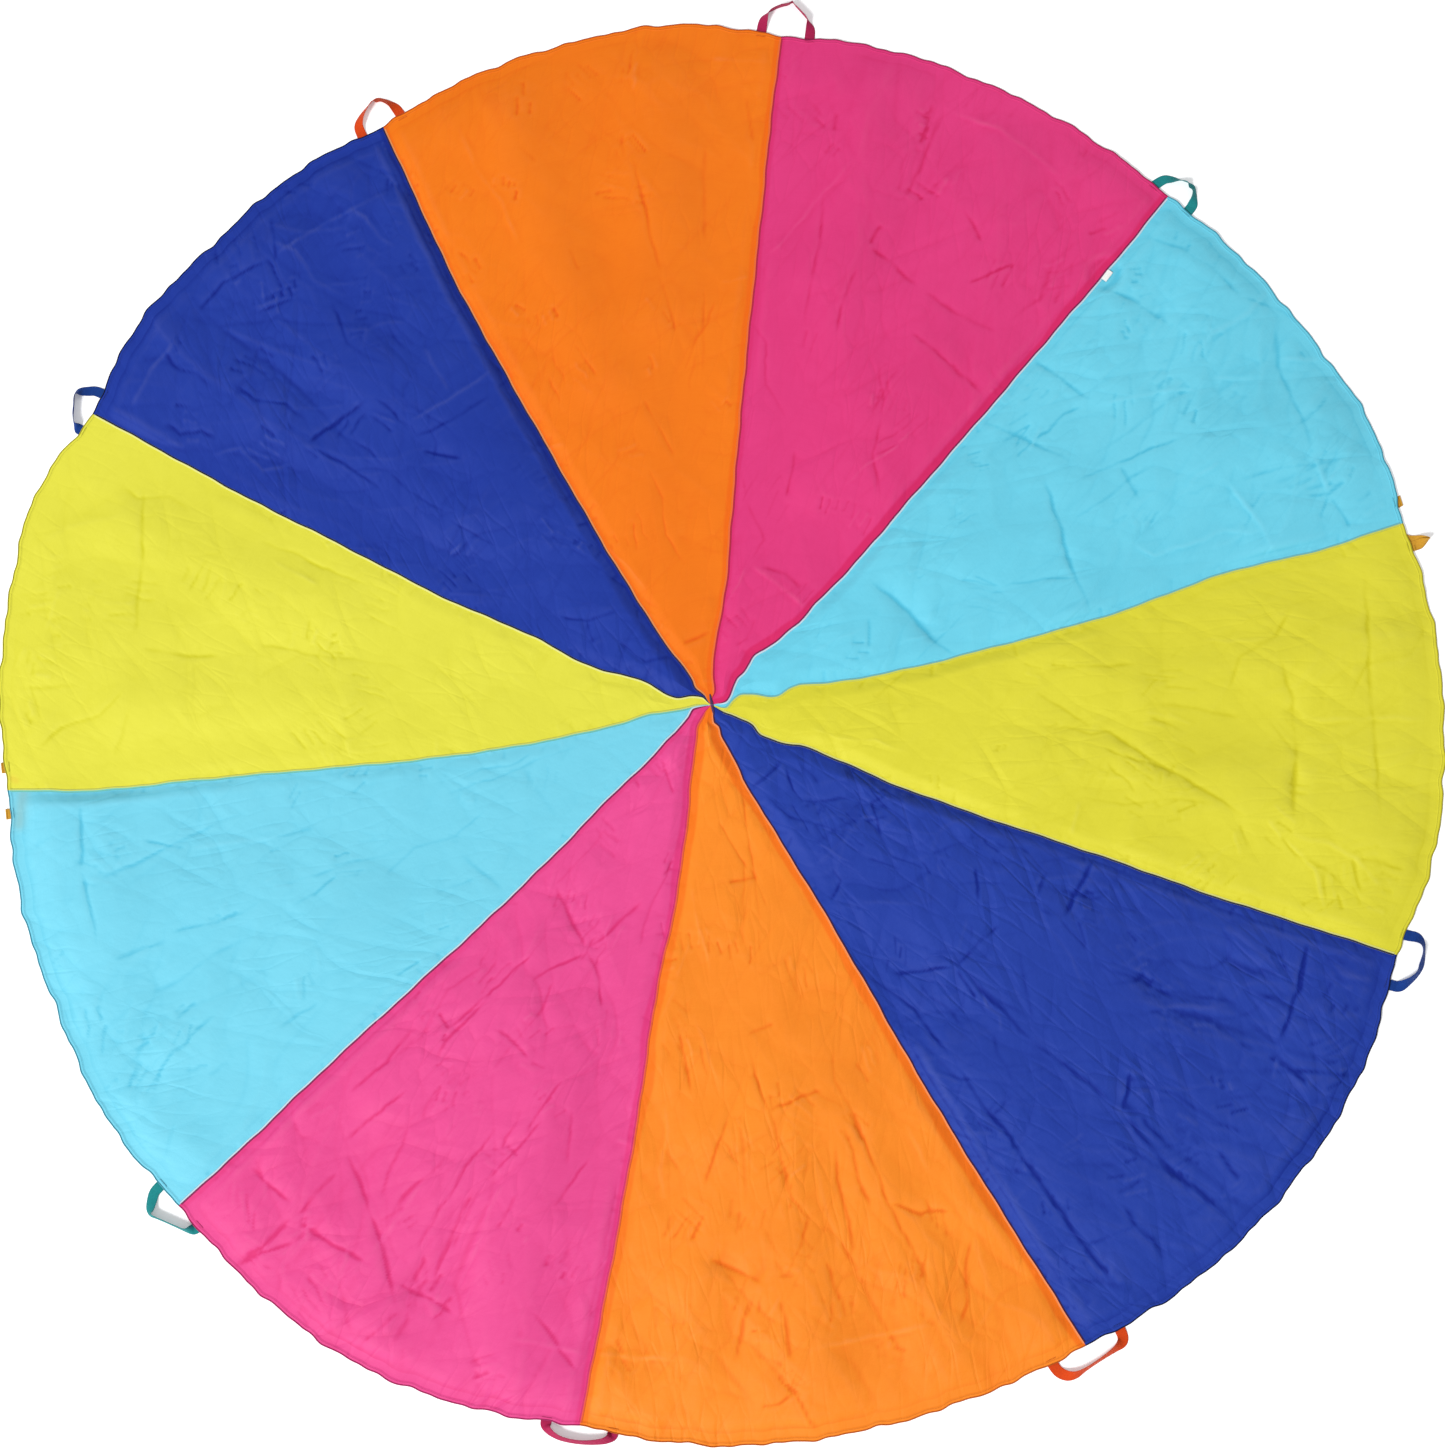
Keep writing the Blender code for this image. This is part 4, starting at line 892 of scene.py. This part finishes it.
def newMaterial(name, roughness, sheen=0.0, specular=0.35):
    made = bpy.data.materials.new(name)
    made.use_nodes = True
    tree = made.node_tree
    shader = tree.nodes["Principled BSDF"]
    setInputs(shader, {
        "Roughness": roughness, "Sheen Weight": sheen, "Sheen Roughness": 0.4, "Specular IOR Level": specular,
    })
    return made, tree, shader


def coverWith(tree, shader, colour, height, roughness=None):  # joins them to the shader, the height as a bump
    bump = put(tree, "ShaderNodeBump", {"Height": height, "Strength": 1.0, "Distance": 1.0}).outputs["Normal"]
    for name, socket in (("Base Color", colour), ("Normal", bump), ("Roughness", roughness)):
        if socket is not None:
            tree.links.new(socket, shader.inputs[name])


def deeper(colour, amount=0.9, power=0.3):  # a darker, richer copy of a colour, as through more layers of the same cloth; also the colour of the painted shade in creases, hollows and thread grooves
    return tuple(c * amount * (c / studio["dim"]) ** power for c in colour)


def clothMaterial(gore):
    colour = cloth["colours"][gore]
    made, tree, shader = newMaterial(f"taffeta_{gore:02d}", 0.5, specular=cloth["gloss"].get(gore, 0.18))
    place = put(tree, "ShaderNodeTexCoord").outputs["Object"]
    run, aside, _ = readRun(tree)
    paintedCreaseShading, band, rim = (attribute(tree, name) for name in ("paintedCreaseShading", "band", "rim"))
    broad, small = noise(tree, place, 2.4, 3.0), noise(tree, place, 26.0, 3.0)
    weave = useGroup(tree, weaveGroup, {"Vector": run, "Threads": cloth["threads"]})
    runs = []
    for turn in (0.35, -0.30):
        leant = put(tree, "ShaderNodeVectorRotate", {"Vector": run, "Angle": turn + 0.07 * gore},
                    rotation_type="Z_AXIS").outputs[0]
        runs.append(put(tree, "ShaderNodeVectorMath", {0: leant, 1: (1.0, 0.34, 1.0)}, operation="MULTIPLY").outputs[0])
    coarse = useGroup(tree, crumpleGroup, {"Vector": runs[0], "Place": place, "Scale": 11.0})
    fine = useGroup(tree, crumpleGroup, {"Vector": runs[1], "Place": place, "Scale": 30.0})
    tone = plus(tree, ramp(tree, broad, -0.5, 1.5), ramp(tree, small, -0.25, 0.25),
                ramp(tree, weave["Slub"], -0.35, 0.35))
    shade = mixColours(tree, tone, deeper(colour, 0.98, 0.06), scaled(colour, 1.04))
    # painted shade: the crease lines and the crumple's lines darken the cloth's colour
    lines = plus(tree, maths(tree, "MAXIMUM", paintedCreaseShading, 0.0), times(tree, fine["PaintedShadeLines"], 0.16),
                 times(tree, coarse["PaintedShadeLines"], 0.20))
    shade = mixColours(tree, lines, shade, deeper(colour, 0.93, 0.34))
    # painted highlight on ridges and tops, from the below-zero part of the crease shading
    paintedHighlight = times(tree, maths(tree, "MAXIMUM", times(tree, paintedCreaseShading, -1.0), 0.0), 0.35)
    shade = mixColours(tree, paintedHighlight, shade, tuple(0.93 * c + 0.07 * studio["dim"] for c in colour))
    shade = mixColours(tree, band, shade, deeper(colour, 0.99, 0.33))
    if gore in cloth["under"]:
        shade = mixColours(tree, attribute(tree, "under"), shade, cloth["under"][gore][4])
    stitches = useGroup(tree, stitchGroup, {"Along": aside, "Across": rim, **cloth["hemStitch"]})["Mask"]
    shade = mixColours(tree, times(tree, stitches, 0.5), shade, deeper(colour, 0.6, 0.4))
    matt = plus(tree, ramp(tree, small, 0.50, 0.62), times(tree, maths(tree, "ABSOLUTE", paintedCreaseShading), 0.08))
    bumps, crumpled = cloth["bumps"], cloth["crumple"][gore]
    height = plus(
        tree,
        times(tree, weave["Height"], bumps["weave"]),
        times(tree, coarse["Height"], bumps["coarse"] * crumpled),
        times(tree, fine["Height"], bumps["fine"] * crumpled),
        times(tree, noise(tree, runs[0], 34.0, 3.0), bumps["soft"] * crumpled),
    )
    height = maths(tree, "SUBTRACT", height, times(tree, stitches, bumps["stitches"]))
    coverWith(tree, shader, shade, height, matt)
    return made


def hollows(z):  # how far each spot lies below (or, less than zero, above) the cloth around it
    k = cloth["hollowReach"]
    grid = np.pad(z.reshape(cloth["rows"] + 1, cloth["columns"] + 1), k, mode="reflect", reflect_type="odd")
    around = (grid[:-2 * k, k:-k] + grid[2 * k:, k:-k] + grid[k:-k, :-2 * k] + grid[k:-k, 2 * k:]) / 4
    return np.clip((around - grid[k:-k, k:-k]) / cloth["hollowDepth"], -1, 1).ravel()


def makeGore(gore):
    slot = cloth["slots"][gore]
    made, u, v = gridPiece(f"cloth_{gore:02d}_{slot}", cloth["columns"], cloth["rows"])
    across, share = np.interp(u, *cloth["columnPlaces"]), np.interp(v, *cloth["rowPlaces"])
    x, y = planPoint(gore, across, share)
    z, shade = clothHeight(gore, across, share, x, y)
    setPlaces(made.data, x, y, z)
    # painted shade in creases and hollows, and below zero painted highlight on ridges and tops, kept for the cloth's
    # colour
    shade = np.clip(0.6 * shade + 0.7 * hollows(z), -1, 1)
    width = goreWidth(gore, share)
    setUv(made.data, (across - 0.5) * width, share * plan["radius"])
    band = np.zeros_like(x)
    for side, reach, depth in cloth["bands"].get(gore, ()):
        away = (across if side == 0 else 1 - across) * width
        uneven = reach * (1 + 0.35 * swell(x, y, 9.0, 70 + gore))
        band = np.maximum(band, depth * (1 - smoothStep((away - uneven) / cloth["bandEdge"] + 0.5)))
    if gore in cloth["under"]:
        first, second, reach, depth, _ = cloth["under"][gore]
        away = nearRun(x, y, floorPoint(*first), floorPoint(*second))[1]
        setFloats(made.data, "under", depth * np.exp(-((away / reach) ** 2)))
    setFloats(made.data, "paintedCreaseShading", shade)
    setFloats(made.data, "band", band)
    setFloats(made.data, "rim", (1 - share) * plan["radius"])
    made.data.materials.append(clothMaterial(gore))
    foldAlong(made)
    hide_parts(*(f"gore_{gore:02d}_{slot}{half}" for half in cloth["halves"].get(gore, ("",))))
    return made


gores = {gore: makeGore(gore) for gore in range(1, 11)}
print("ten gores of cloth laid")

seams = {
    "halfWidth": 0.0045,
    "ridge": 0.0010,
    "ridgeFall": 0.0007,  # how fast the ridge drops on its steep side
    "edge": 0.0012,
    "taper": 0.035,  # out from the centre to where it has its full width
    "columns": 10,
    "rows": 460,
    "rowPlaces": ((0, 0.06, 1), (0.006, 0.045, 0.9965)),
    "lineWidth": 0.0036,
    "stitchRows": (-0.0032, 0.0032),
    "stitch": {"Pitch": 0.0030, "Width": 0.0005, "Length": 0.7},
    "bumps": {"weave": 0.00005, "stitches": 0.00025},
    # the side that folds over: 0 the gore before, 1 the gore after
    "upper": {1: 1, 2: 0, 3: 1, 4: 1, 5: 0, 6: 0, 7: 1, 8: 1, 9: 0, 10: 0},
    "lines": {  # the lines on each side of the join: the light ones are thread, the dark ones dark thread with painted shadow of the folded edge
        1: (linear(238, 110, 50), linear(190, 30, 60)),
        2: (linear(120, 20, 78), linear(205, 228, 240)),
        3: (linear(120, 190, 190), linear(205, 212, 90)),
        4: (linear(232, 232, 140), linear(10, 14, 46)),
        5: (linear(70, 18, 50), linear(242, 140, 78)),
        6: (linear(238, 90, 60), linear(205, 40, 100)),
        7: (linear(120, 20, 78), linear(205, 228, 240)),
        8: (linear(110, 190, 170), linear(210, 220, 110)),
        9: (linear(232, 232, 140), linear(10, 14, 46)),
        10: (linear(30, 16, 60), linear(250, 160, 90)),
    },
}


def seamMaterial(seam):
    made, tree, shader = newMaterial(f"seam_{seam:02d}_join", 0.6, sheen=0.1, specular=0.25)
    run, across, along = readRun(tree)
    ragged = noise(tree, run, 160.0, 2.0)
    side = plus(tree, across, ramp(tree, ragged, -0.0002, 0.0002))
    weave = useGroup(tree, weaveGroup, {"Vector": run, "Threads": cloth["threads"]})
    tone = ramp(tree, ragged, 0.2, 0.8)
    first, second = (
        mixColours(tree, tone, deeper(colour, 0.9, 0.15), colour)
        for colour in (cloth["colours"][goreBefore(seam)], cloth["colours"][seam])
    )
    shade = mixColours(tree, maths(tree, "GREATER_THAN", side, 0.0), first, second)
    # the two lines along the join: thread, and painted shadow of the folded edge
    ends = (-seams["lineWidth"], 0.0, seams["lineWidth"])
    for low, high, thread in zip(ends, ends[1:], seams["lines"][seam]):
        on = times(tree, maths(tree, "GREATER_THAN", side, low), maths(tree, "LESS_THAN", side, high))
        shade = mixColours(tree, times(tree, on, 0.92), shade, thread)
    stitches = plus(tree, *(
        useGroup(tree, stitchGroup, {"Along": along, "Across": across, "Row": row, **seams["stitch"]})["Mask"]
        for row in seams["stitchRows"]
    ))
    shade = mixColours(tree, times(tree, stitches, 0.35), shade, seams["lines"][seam][0])
    bumps = seams["bumps"]
    height = plus(tree, times(tree, weave["Height"], bumps["weave"]), times(tree, stitches, bumps["stitches"]))
    coverWith(tree, shader, shade, height, ramp(tree, ragged, 0.5, 0.7))
    return made


def seamEdge(seam, share):  # place and height of the cloth along a seam
    x, y = planPoint(seam, 0.0, share)
    return x, y, clothHeight(seam, np.zeros_like(share), share, x, y)[0]


def makeSeam(seam):
    made, u, v = gridPiece(f"seam_{seam:02d}_strip", seams["columns"], seams["rows"])
    share = np.interp(v, *seams["rowPlaces"])
    step = 0.0006
    x, y, z = seamEdge(seam, share)
    bx, by = planPoint(seam, 0.0, share - step)
    dx, dy = x - bx, y - by
    run = np.hypot(dx, dy)
    off = (u - 0.5) * 2 * seams["halfWidth"]
    taper = np.minimum(1, share * plan["radius"] / seams["taper"])
    off = off * taper
    x, y = x + dy / run * off, y - dx / run * off
    toUpper = off if seams["upper"][seam] else -off
    body = np.where(
        toUpper > 0,
        1 - 0.75 * smoothStep(toUpper / (seams["halfWidth"] * taper)),
        np.exp(-np.abs(toUpper) / seams["ridgeFall"]),
    )
    edge = smoothStep((seams["halfWidth"] * taper - np.abs(off)) / seams["edge"])
    z = z + 0.0002 + (seams["ridge"] * body * taper + 0.0003) * edge - 0.0006 * (1 - edge)
    setPlaces(made.data, x, y, z)
    setUv(made.data, off, share * plan["radius"])
    made.data.materials.append(seamMaterial(seam))
    foldAlong(made)
    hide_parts(f"seam_{seam:02d}")
    return made


strips = {seam: makeSeam(seam) for seam in range(1, 11)}
print("ten seams sewn")


def sweep(name, centre, side, up, halfWidth, halfThick, sides=16, square=0.3):  # a closed strap or cord
    last = len(centre) - 1
    side, up = (np.broadcast_to(turn, centre.shape) for turn in (side, up))
    halfWidth, halfThick = (np.broadcast_to(half, last + 1) for half in (halfWidth, halfThick))
    made, around, along = gridPiece(name, sides, last)
    row = np.rint(along * last).astype(int)
    angle = 2 * np.pi * (np.rint(around * sides) % sides) / sides
    flat = np.sign(np.cos(angle)) * np.abs(np.cos(angle)) ** square
    tall = np.sign(np.sin(angle)) * np.abs(np.sin(angle)) ** square
    flat, tall = np.where(np.abs(flat) < 0.01, 0, flat), np.where(np.abs(tall) < 0.01, 0, tall)
    places = centre[row] + side[row] * (halfWidth[row] * flat)[:, None] + up[row] * (halfThick[row] * tall)[:, None]
    steps = np.linalg.norm(np.diff(centre, axis=0), axis=1)
    lengths = np.concatenate(([0.0], np.cumsum(steps)))
    made.data.vertices.foreach_set("co", places.astype(np.float32).ravel())
    setUv(made.data, halfWidth[row] * flat, lengths[row])
    bm = bmesh.new()
    bm.from_mesh(made.data)
    bmesh.ops.remove_doubles(bm, verts=bm.verts[:], dist=1e-7)
    bmesh.ops.holes_fill(bm, edges=[e for e in bm.edges if e.is_boundary], sides=0)
    bmesh.ops.recalc_face_normals(bm, faces=bm.faces[:])
    bm.to_mesh(made.data)
    bm.free()
    made.data.shade_smooth()
    return made


rimThread = {
    "halfWidth": 0.0013,
    "halfThick": 0.0012,
    "rows": 340,
    "pitch": 0.0026,
    "bump": 0.00035,
    # each gore's thread colour; within each pair of the same cloth the one farther from the lower left is set darker,
    # painted shade of the light falling off
    "colours": {
        1: linear(176, 40, 96), 2: linear(84, 170, 190), 3: linear(190, 180, 50), 4: linear(16, 22, 62),
        5: linear(214, 110, 34), 6: linear(196, 60, 120), 7: linear(96, 180, 200), 8: linear(196, 188, 60),
        9: linear(16, 20, 60), 10: linear(205, 96, 30),
    },
}


def rimMaterial(gore):
    colour = rimThread["colours"][gore]
    made, tree, shader = newMaterial(f"overlock_{gore:02d}", 0.8, specular=0.2)
    run, across, along = readRun(tree)
    slant = plus(tree, along, times(tree, across, 0.7))
    wrap = maths(tree, "SINE", times(tree, slant, 2 * math.pi / rimThread["pitch"]))
    fuzz = noise(tree, run, 900.0, 2.0)
    # painted shade between the thread's wraps, and painted highlight on their crests
    tone = plus(tree, ramp(tree, wrap, 0.2, 0.8, -1.0, 1.0), ramp(tree, fuzz, -0.3, 0.3))
    shade = mixColours(tree, tone, deeper(colour, 0.6), scaled(colour, 1.25))
    coverWith(tree, shader, shade, times(tree, wrap, rimThread["bump"]), ramp(tree, fuzz, 0.7, 0.9))
    return made


def makeRimThread(gore):
    across = np.linspace(0, 1, rimThread["rows"] + 1)
    share = np.ones_like(across)
    x, y = planPoint(gore, across, share)
    z = clothHeight(gore, across, share, x, y)[0] + 0.0001
    centre = np.column_stack((x, y, z))
    ahead = np.gradient(centre, axis=0)
    ahead /= np.linalg.norm(ahead, axis=1)[:, None]
    up = np.array((0.0, 0.0, 1.0))
    side = np.cross(up, ahead)
    side /= np.linalg.norm(side, axis=1)[:, None]
    made = sweep(f"overlock_{gore:02d}", centre, side, up, rimThread["halfWidth"], rimThread["halfThick"],
                 sides=8, square=1.0)
    made.data.materials.append(rimMaterial(gore))
    foldAlong(made)
    for half in ("far",) if gore in (9, 10, 1, 2) else ("near",) if gore in (4, 5, 6, 7) else ("far", "near"):
        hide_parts(f"rim_binding_{half}")
    return made


rims = {gore: makeRimThread(gore) for gore in range(1, 11)}
print("rim overlocked")


def webbingMaterial(name):
    colour = handles["looks"][name]
    made, tree, shader = newMaterial(f"{name}_webbing_weave", 0.7, sheen=0.04, specular=0.16)
    run, across, along = readRun(tree)
    rib = maths(tree, "SINE", times(tree, across, 2 * math.pi / handles["ribPitch"]))
    slant = maths(tree, "ABSOLUTE", maths(tree, "SINE", times(tree, across, math.pi / (2 * handles["ribPitch"]))))
    pick = plus(tree, along, times(tree, slant, handles["pickPitch"] / 2))
    pick = maths(tree, "SINE", times(tree, pick, 2 * math.pi / handles["pickPitch"]))
    fuzz = noise(tree, run, 260.0, 3.0)
    edge = maths(tree, "GREATER_THAN", maths(tree, "ABSOLUTE", across), handles["width"] / 2 - handles["selvedge"])
    # painted shade in the grooves of the ribs and picks, lighter on their crests
    tone = plus(tree, ramp(tree, rib, 0.30, 0.60, -1.0, 1.0), ramp(tree, pick, -0.12, 0.12, -1.0, 1.0),
                ramp(tree, fuzz, -0.3, 0.3))
    shade = mixColours(tree, tone, deeper(colour, 0.66), scaled(colour, 1.15))
    shade = mixColours(tree, times(tree, edge, 0.45), shade, deeper(colour, 0.5))
    height = plus(tree, times(tree, rib, handles["ribBump"]), times(tree, pick, handles["pickBump"]))
    coverWith(tree, shader, shade, height, ramp(tree, fuzz, 0.6, 0.85))
    return made


webbings = {name: webbingMaterial(name) for name in handles["looks"]}


def loopRoute(number, halfSpan):
    reach = handles["reachShares"][number] * handles["reach"]
    under = handles["rootsUnder"].get(number, (False, False))
    first, last = (-handles["rootUnder" if u else "rootShort"] for u in under)
    points = [(-halfSpan, first, 180.0 if under[0] else 0.0)]
    points += [(x * halfSpan, y * reach, turn) for x, y, turn in handles["routes"][number]]
    points += [(halfSpan, last, 180.0 if under[1] else 0.0)]
    return points, under


def strapRun(number, sewnToo):
    middle, along, outward, halfSpan = hinges[number]
    points, under = loopRoute(number, halfSpan)
    if sewnToo:
        back = -(handles["hingeReach"] + handles["sewnLength"])
        points = [(-halfSpan, back, 0.0), (-halfSpan, back / 2, 0.0)] + points
        points += [(halfSpan, back / 2, 0.0), (halfSpan, back, 0.0)]
    xs, ys, turns = (np.array(values, float) for values in zip(*points))
    lengths = np.concatenate(([0.0], np.cumsum(np.hypot(np.diff(xs), np.diff(ys)))))
    at = np.linspace(0, lengths[-1], handles["steps"])
    x, y = smoothCurve(lengths, xs, at), smoothCurve(lengths, ys, at)
    turn = np.radians(np.clip(smoothCurve(lengths, turns, at), 0, 180))
    rootAt = lengths[2] if sewnToo else 0.0
    fromRoot = np.maximum(np.minimum(at - rootAt, lengths[-1] - rootAt - at), 0)
    lying = handles["width"] / 2 * np.sin(turn) + handles["thickness"] / 2 * np.abs(np.cos(turn)) + handles["clear"]
    low = handles["thickness"] / 2 + handles["clear"]
    rootHeights = [low if tucked else handles["hingeHeight"] for tucked in under]
    start = np.where(at < lengths[-1] / 2, *rootHeights)
    settled = start + (low - start) * smoothStep(fromRoot / handles["sag"])
    z = np.maximum(lying, settled)
    centre = np.column_stack((x, y, z - handles["hingeHeight"]))
    ahead = np.gradient(centre, axis=0)
    ahead /= np.linalg.norm(ahead, axis=1)[:, None]
    level = ahead * (1, 1, 0)
    level /= np.maximum(np.linalg.norm(level, axis=1), 1e-6)[:, None]
    up = np.array((0.0, 0.0, 1.0))
    side = np.cross(level, up) * np.cos(turn)[:, None] + up * np.sin(turn)[:, None]
    thick = np.cross(side, ahead)
    thick /= np.linalg.norm(thick, axis=1)[:, None]
    frameTurn = np.array((along, outward, (0, 0, 1)))
    return centre @ frameTurn + np.array(middle), side @ frameTurn, thick @ frameTurn


def webbingPiece(name, colour, centre, side, up, halfWidth, halfThick, square=0.3):
    made = sweep(name, centre, side, up, halfWidth, halfThick, square=square)
    made.data.materials.append(webbings[colour])
    return made


def makeHandle(number):
    middle, along, outward, halfSpan = hinges[number]
    parent = "far_half" if number in farSeams else "near_half"
    colour = handles["colours"][number]
    tucked = number in handles["rootsUnder"]
    half, depth, roll = handles["width"] / 2, handles["thickness"] / 2, handles["bendRadius"]
    strap = webbingPiece(f"strap_{number:02d}", colour, *strapRun(number, not tucked), half, depth)
    node, up = f"handle_{number:02d}", (0.0, 0.0, 1.0)
    if tucked:
        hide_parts(f"{node}_loop")
        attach(strap, node)
        for end, foot in (("left", -halfSpan), ("right", halfSpan)):
            turnsUnder = handles["rootsUnder"][number][end == "right"]
            back = -(handles["hingeReach"] + handles["sewnLength"])
            run = np.linspace(back, -roll - handles["clear"] if turnsUnder else depth, handles["sewnSteps"])
            centre = np.array([middle + along * foot + outward * float(y) for y in run])
            sewn = webbingPiece(f"strap_{number:02d}_{end}_end", colour, centre, along, up, half, depth)
            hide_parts(f"{node}_{end}_end")
            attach(sewn, parent)
            if turnsUnder:
                across = np.linspace(-half, half, handles["bendSteps"])
                centre = np.array([middle + along * (foot + x) for x in across])
                bend = webbingPiece(f"strap_{number:02d}_{end}_bend", colour, centre, outward, up, roll, roll, 1.0)
                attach(bend, parent)
    else:
        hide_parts(f"{node}_loop", f"{node}_left_end", f"{node}_right_end")
        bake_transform(strap)


for number in range(1, 11):
    makeHandle(number)
print("ten handles sewn on")

tacks = {
    "inset": 0.0075, "halfLength": 0.0110, "halfWidth": 0.0011, "height": 0.0007, "pitch": 0.0009, "bump": 0.0002,
}


def tackMaterial(gore):
    colour = scaled(cloth["colours"][gore], 1.25)
    made, tree, shader = newMaterial(f"tack_thread_{gore:02d}", 0.75, specular=0.3)
    wrap = maths(tree, "SINE", times(tree, readRun(tree)[2], 2 * math.pi / tacks["pitch"]))
    # painted shade between the wraps of the tack thread
    tone = ramp(tree, wrap, 0.1, 1.0, -1.0, 1.0)
    shade = mixColours(tree, tone, deeper(colour, 0.55), colour)
    coverWith(tree, shader, shade, times(tree, wrap, tacks["bump"]))
    return made


def makeTacks(number):
    middle, along, outward, halfSpan = hinges[number]
    parent = "far_half" if number in farSeams else "near_half"
    for end, foot in (("left", -halfSpan), ("right", halfSpan)):
        gore = number if foot > 0 else goreBefore(number)
        spot = middle + along * foot - outward * (handles["hingeReach"] + tacks["inset"])
        run = np.linspace(-tacks["halfLength"], tacks["halfLength"], 24)
        x, y = spot.x + along.x * run, spot.y + along.y * run
        angle = np.arctan2(y, x)
        first, second = goreAngles(gore, 1.0)
        across = ((first - angle) % (2 * np.pi)) / (first - second)
        share = np.hypot(x, y) / rimRadius(gore, across)
        z = clothHeight(gore, across, share, x, y)[0] + 0.0004
        centre = np.column_stack((x, y, z))
        taper = np.clip((tacks["halfLength"] - np.abs(run)) / 0.0015, 0.15, 1)
        tack = sweep(f"tack_{number:02d}_{end}", centre, outward, (0.0, 0.0, 1.0), tacks["halfWidth"] * taper,
                     tacks["height"] * taper, sides=8, square=0.8)
        tack.data.materials.append(tackThreads[gore])
        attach(tack, parent)


tackThreads = {gore: tackMaterial(gore) for gore in range(1, 11)}
for number in range(1, 11):
    makeTacks(number)
print("handles tacked")

label = {
    "seam": 2, "length": 0.026, "reach": 0.0130, "share": 0.85, "thickness": 0.0006,
    "colour": (0.86, 0.86, 0.84), "threads": 600.0, "edge": 0.0012, "bump": 0.0001,
}


def makeLabel():
    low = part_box("care_label")[0]
    made, u, v = gridPiece("care_label_cloth", 16, 24)
    spot, nearer = (np.array(planPoint(label["seam"], 0.0, label["share"] - short)) for short in (0.0, 0.001))
    ahead = (spot - nearer) / np.linalg.norm(spot - nearer)
    aside = np.array((ahead[1], -ahead[0]))
    out = u * label["reach"] + 0.0004
    run = (v - 0.5) * label["length"]
    x = spot[0] + aside[0] * out + ahead[0] * run
    y = spot[1] + aside[1] * out + ahead[1] * run
    bow = 0.0010 * np.sin(np.pi * u) + 0.0005 * np.sin(np.pi * v * 1.3 + 0.4) * u
    setPlaces(made.data, x, y, low.z + 0.0003 + bow)
    setUv(made.data, out, run)
    thicken = made.modifiers.new("folded", "SOLIDIFY")
    thicken.thickness = label["thickness"]
    thicken.offset = 0
    paint, tree, shader = newMaterial("label_weave", 0.8, specular=0.2)
    surface, _, along = readRun(tree)
    weave = useGroup(tree, weaveGroup, {"Vector": surface, "Threads": label["threads"]})
    # painted shade in the hollows of the weave
    shade = mixColours(tree, weave["Height"], scaled(label["colour"], 0.9), label["colour"])
    edge = maths(tree, "GREATER_THAN", maths(tree, "ABSOLUTE", along), label["length"] / 2 - label["edge"])
    shade = mixColours(tree, times(tree, edge, 0.4), shade, (0.5, 0.5, 0.5))
    coverWith(tree, shader, shade, times(tree, weave["Height"], label["bump"]))
    made.data.materials.append(paint)
    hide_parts("care_label")
    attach(made, "care_label")


makeLabel()

hub = {
    "halfWidth": 0.0030, "halfLength": 0.0240, "height": 0.0024, "lift": 0.0018, "lean": 11.0,
    "thread": linear(120, 84, 130), "grooveShade": linear(20, 18, 56), "bump": 0.0004,
}


def makeHub():
    bm = bmesh.new()
    bmesh.ops.create_uvsphere(bm, u_segments=28, v_segments=14, radius=1)
    bmesh.ops.bisect_plane(bm, geom=bm.verts[:] + bm.edges[:] + bm.faces[:], plane_co=(0, 0, -0.05),
                           plane_no=(0, 0, 1), clear_inner=True)
    bmesh.ops.holes_fill(bm, edges=[e for e in bm.edges if e.is_boundary], sides=0)
    bmesh.ops.scale(bm, vec=(hub["halfWidth"], hub["halfLength"], hub["height"]), verts=bm.verts[:])
    for v in bm.verts:
        angle, out = math.atan2(v.co.y, v.co.x), v.co.xy.length / hub["halfLength"]
        v.co.z = v.co.z * (1 + 0.22 * math.sin(7 * angle + 5 * out)) + hub["lift"]
    bmesh.ops.rotate(bm, cent=(0, 0, 0), matrix=Matrix.Rotation(math.radians(hub["lean"]), 3, "Z"), verts=bm.verts[:])
    knot = newPiece("centre_knot", bm)
    paint, tree, shader = newMaterial("centre_thread", 0.75, specular=0.3)
    place = put(tree, "ShaderNodeTexCoord").outputs["Object"]
    wrap = put(tree, "ShaderNodeTexWave", {"Vector": place, "Scale": 260.0, "Distortion": 3.0},
               wave_type="RINGS").outputs["Fac"]
    # painted shade in the grooves between the knot's thread wraps
    coverWith(tree, shader, mixColours(tree, wrap, hub["grooveShade"], hub["thread"]), times(tree, wrap, hub["bump"]))
    knot.data.materials.append(paint)
    foldAlong(knot)
    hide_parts("centre_stitch")


makeHub()
print("label and centre made")

for gore, piece in gores.items():
    wide = round(float(goreWidth(gore, 1.0)), 3)
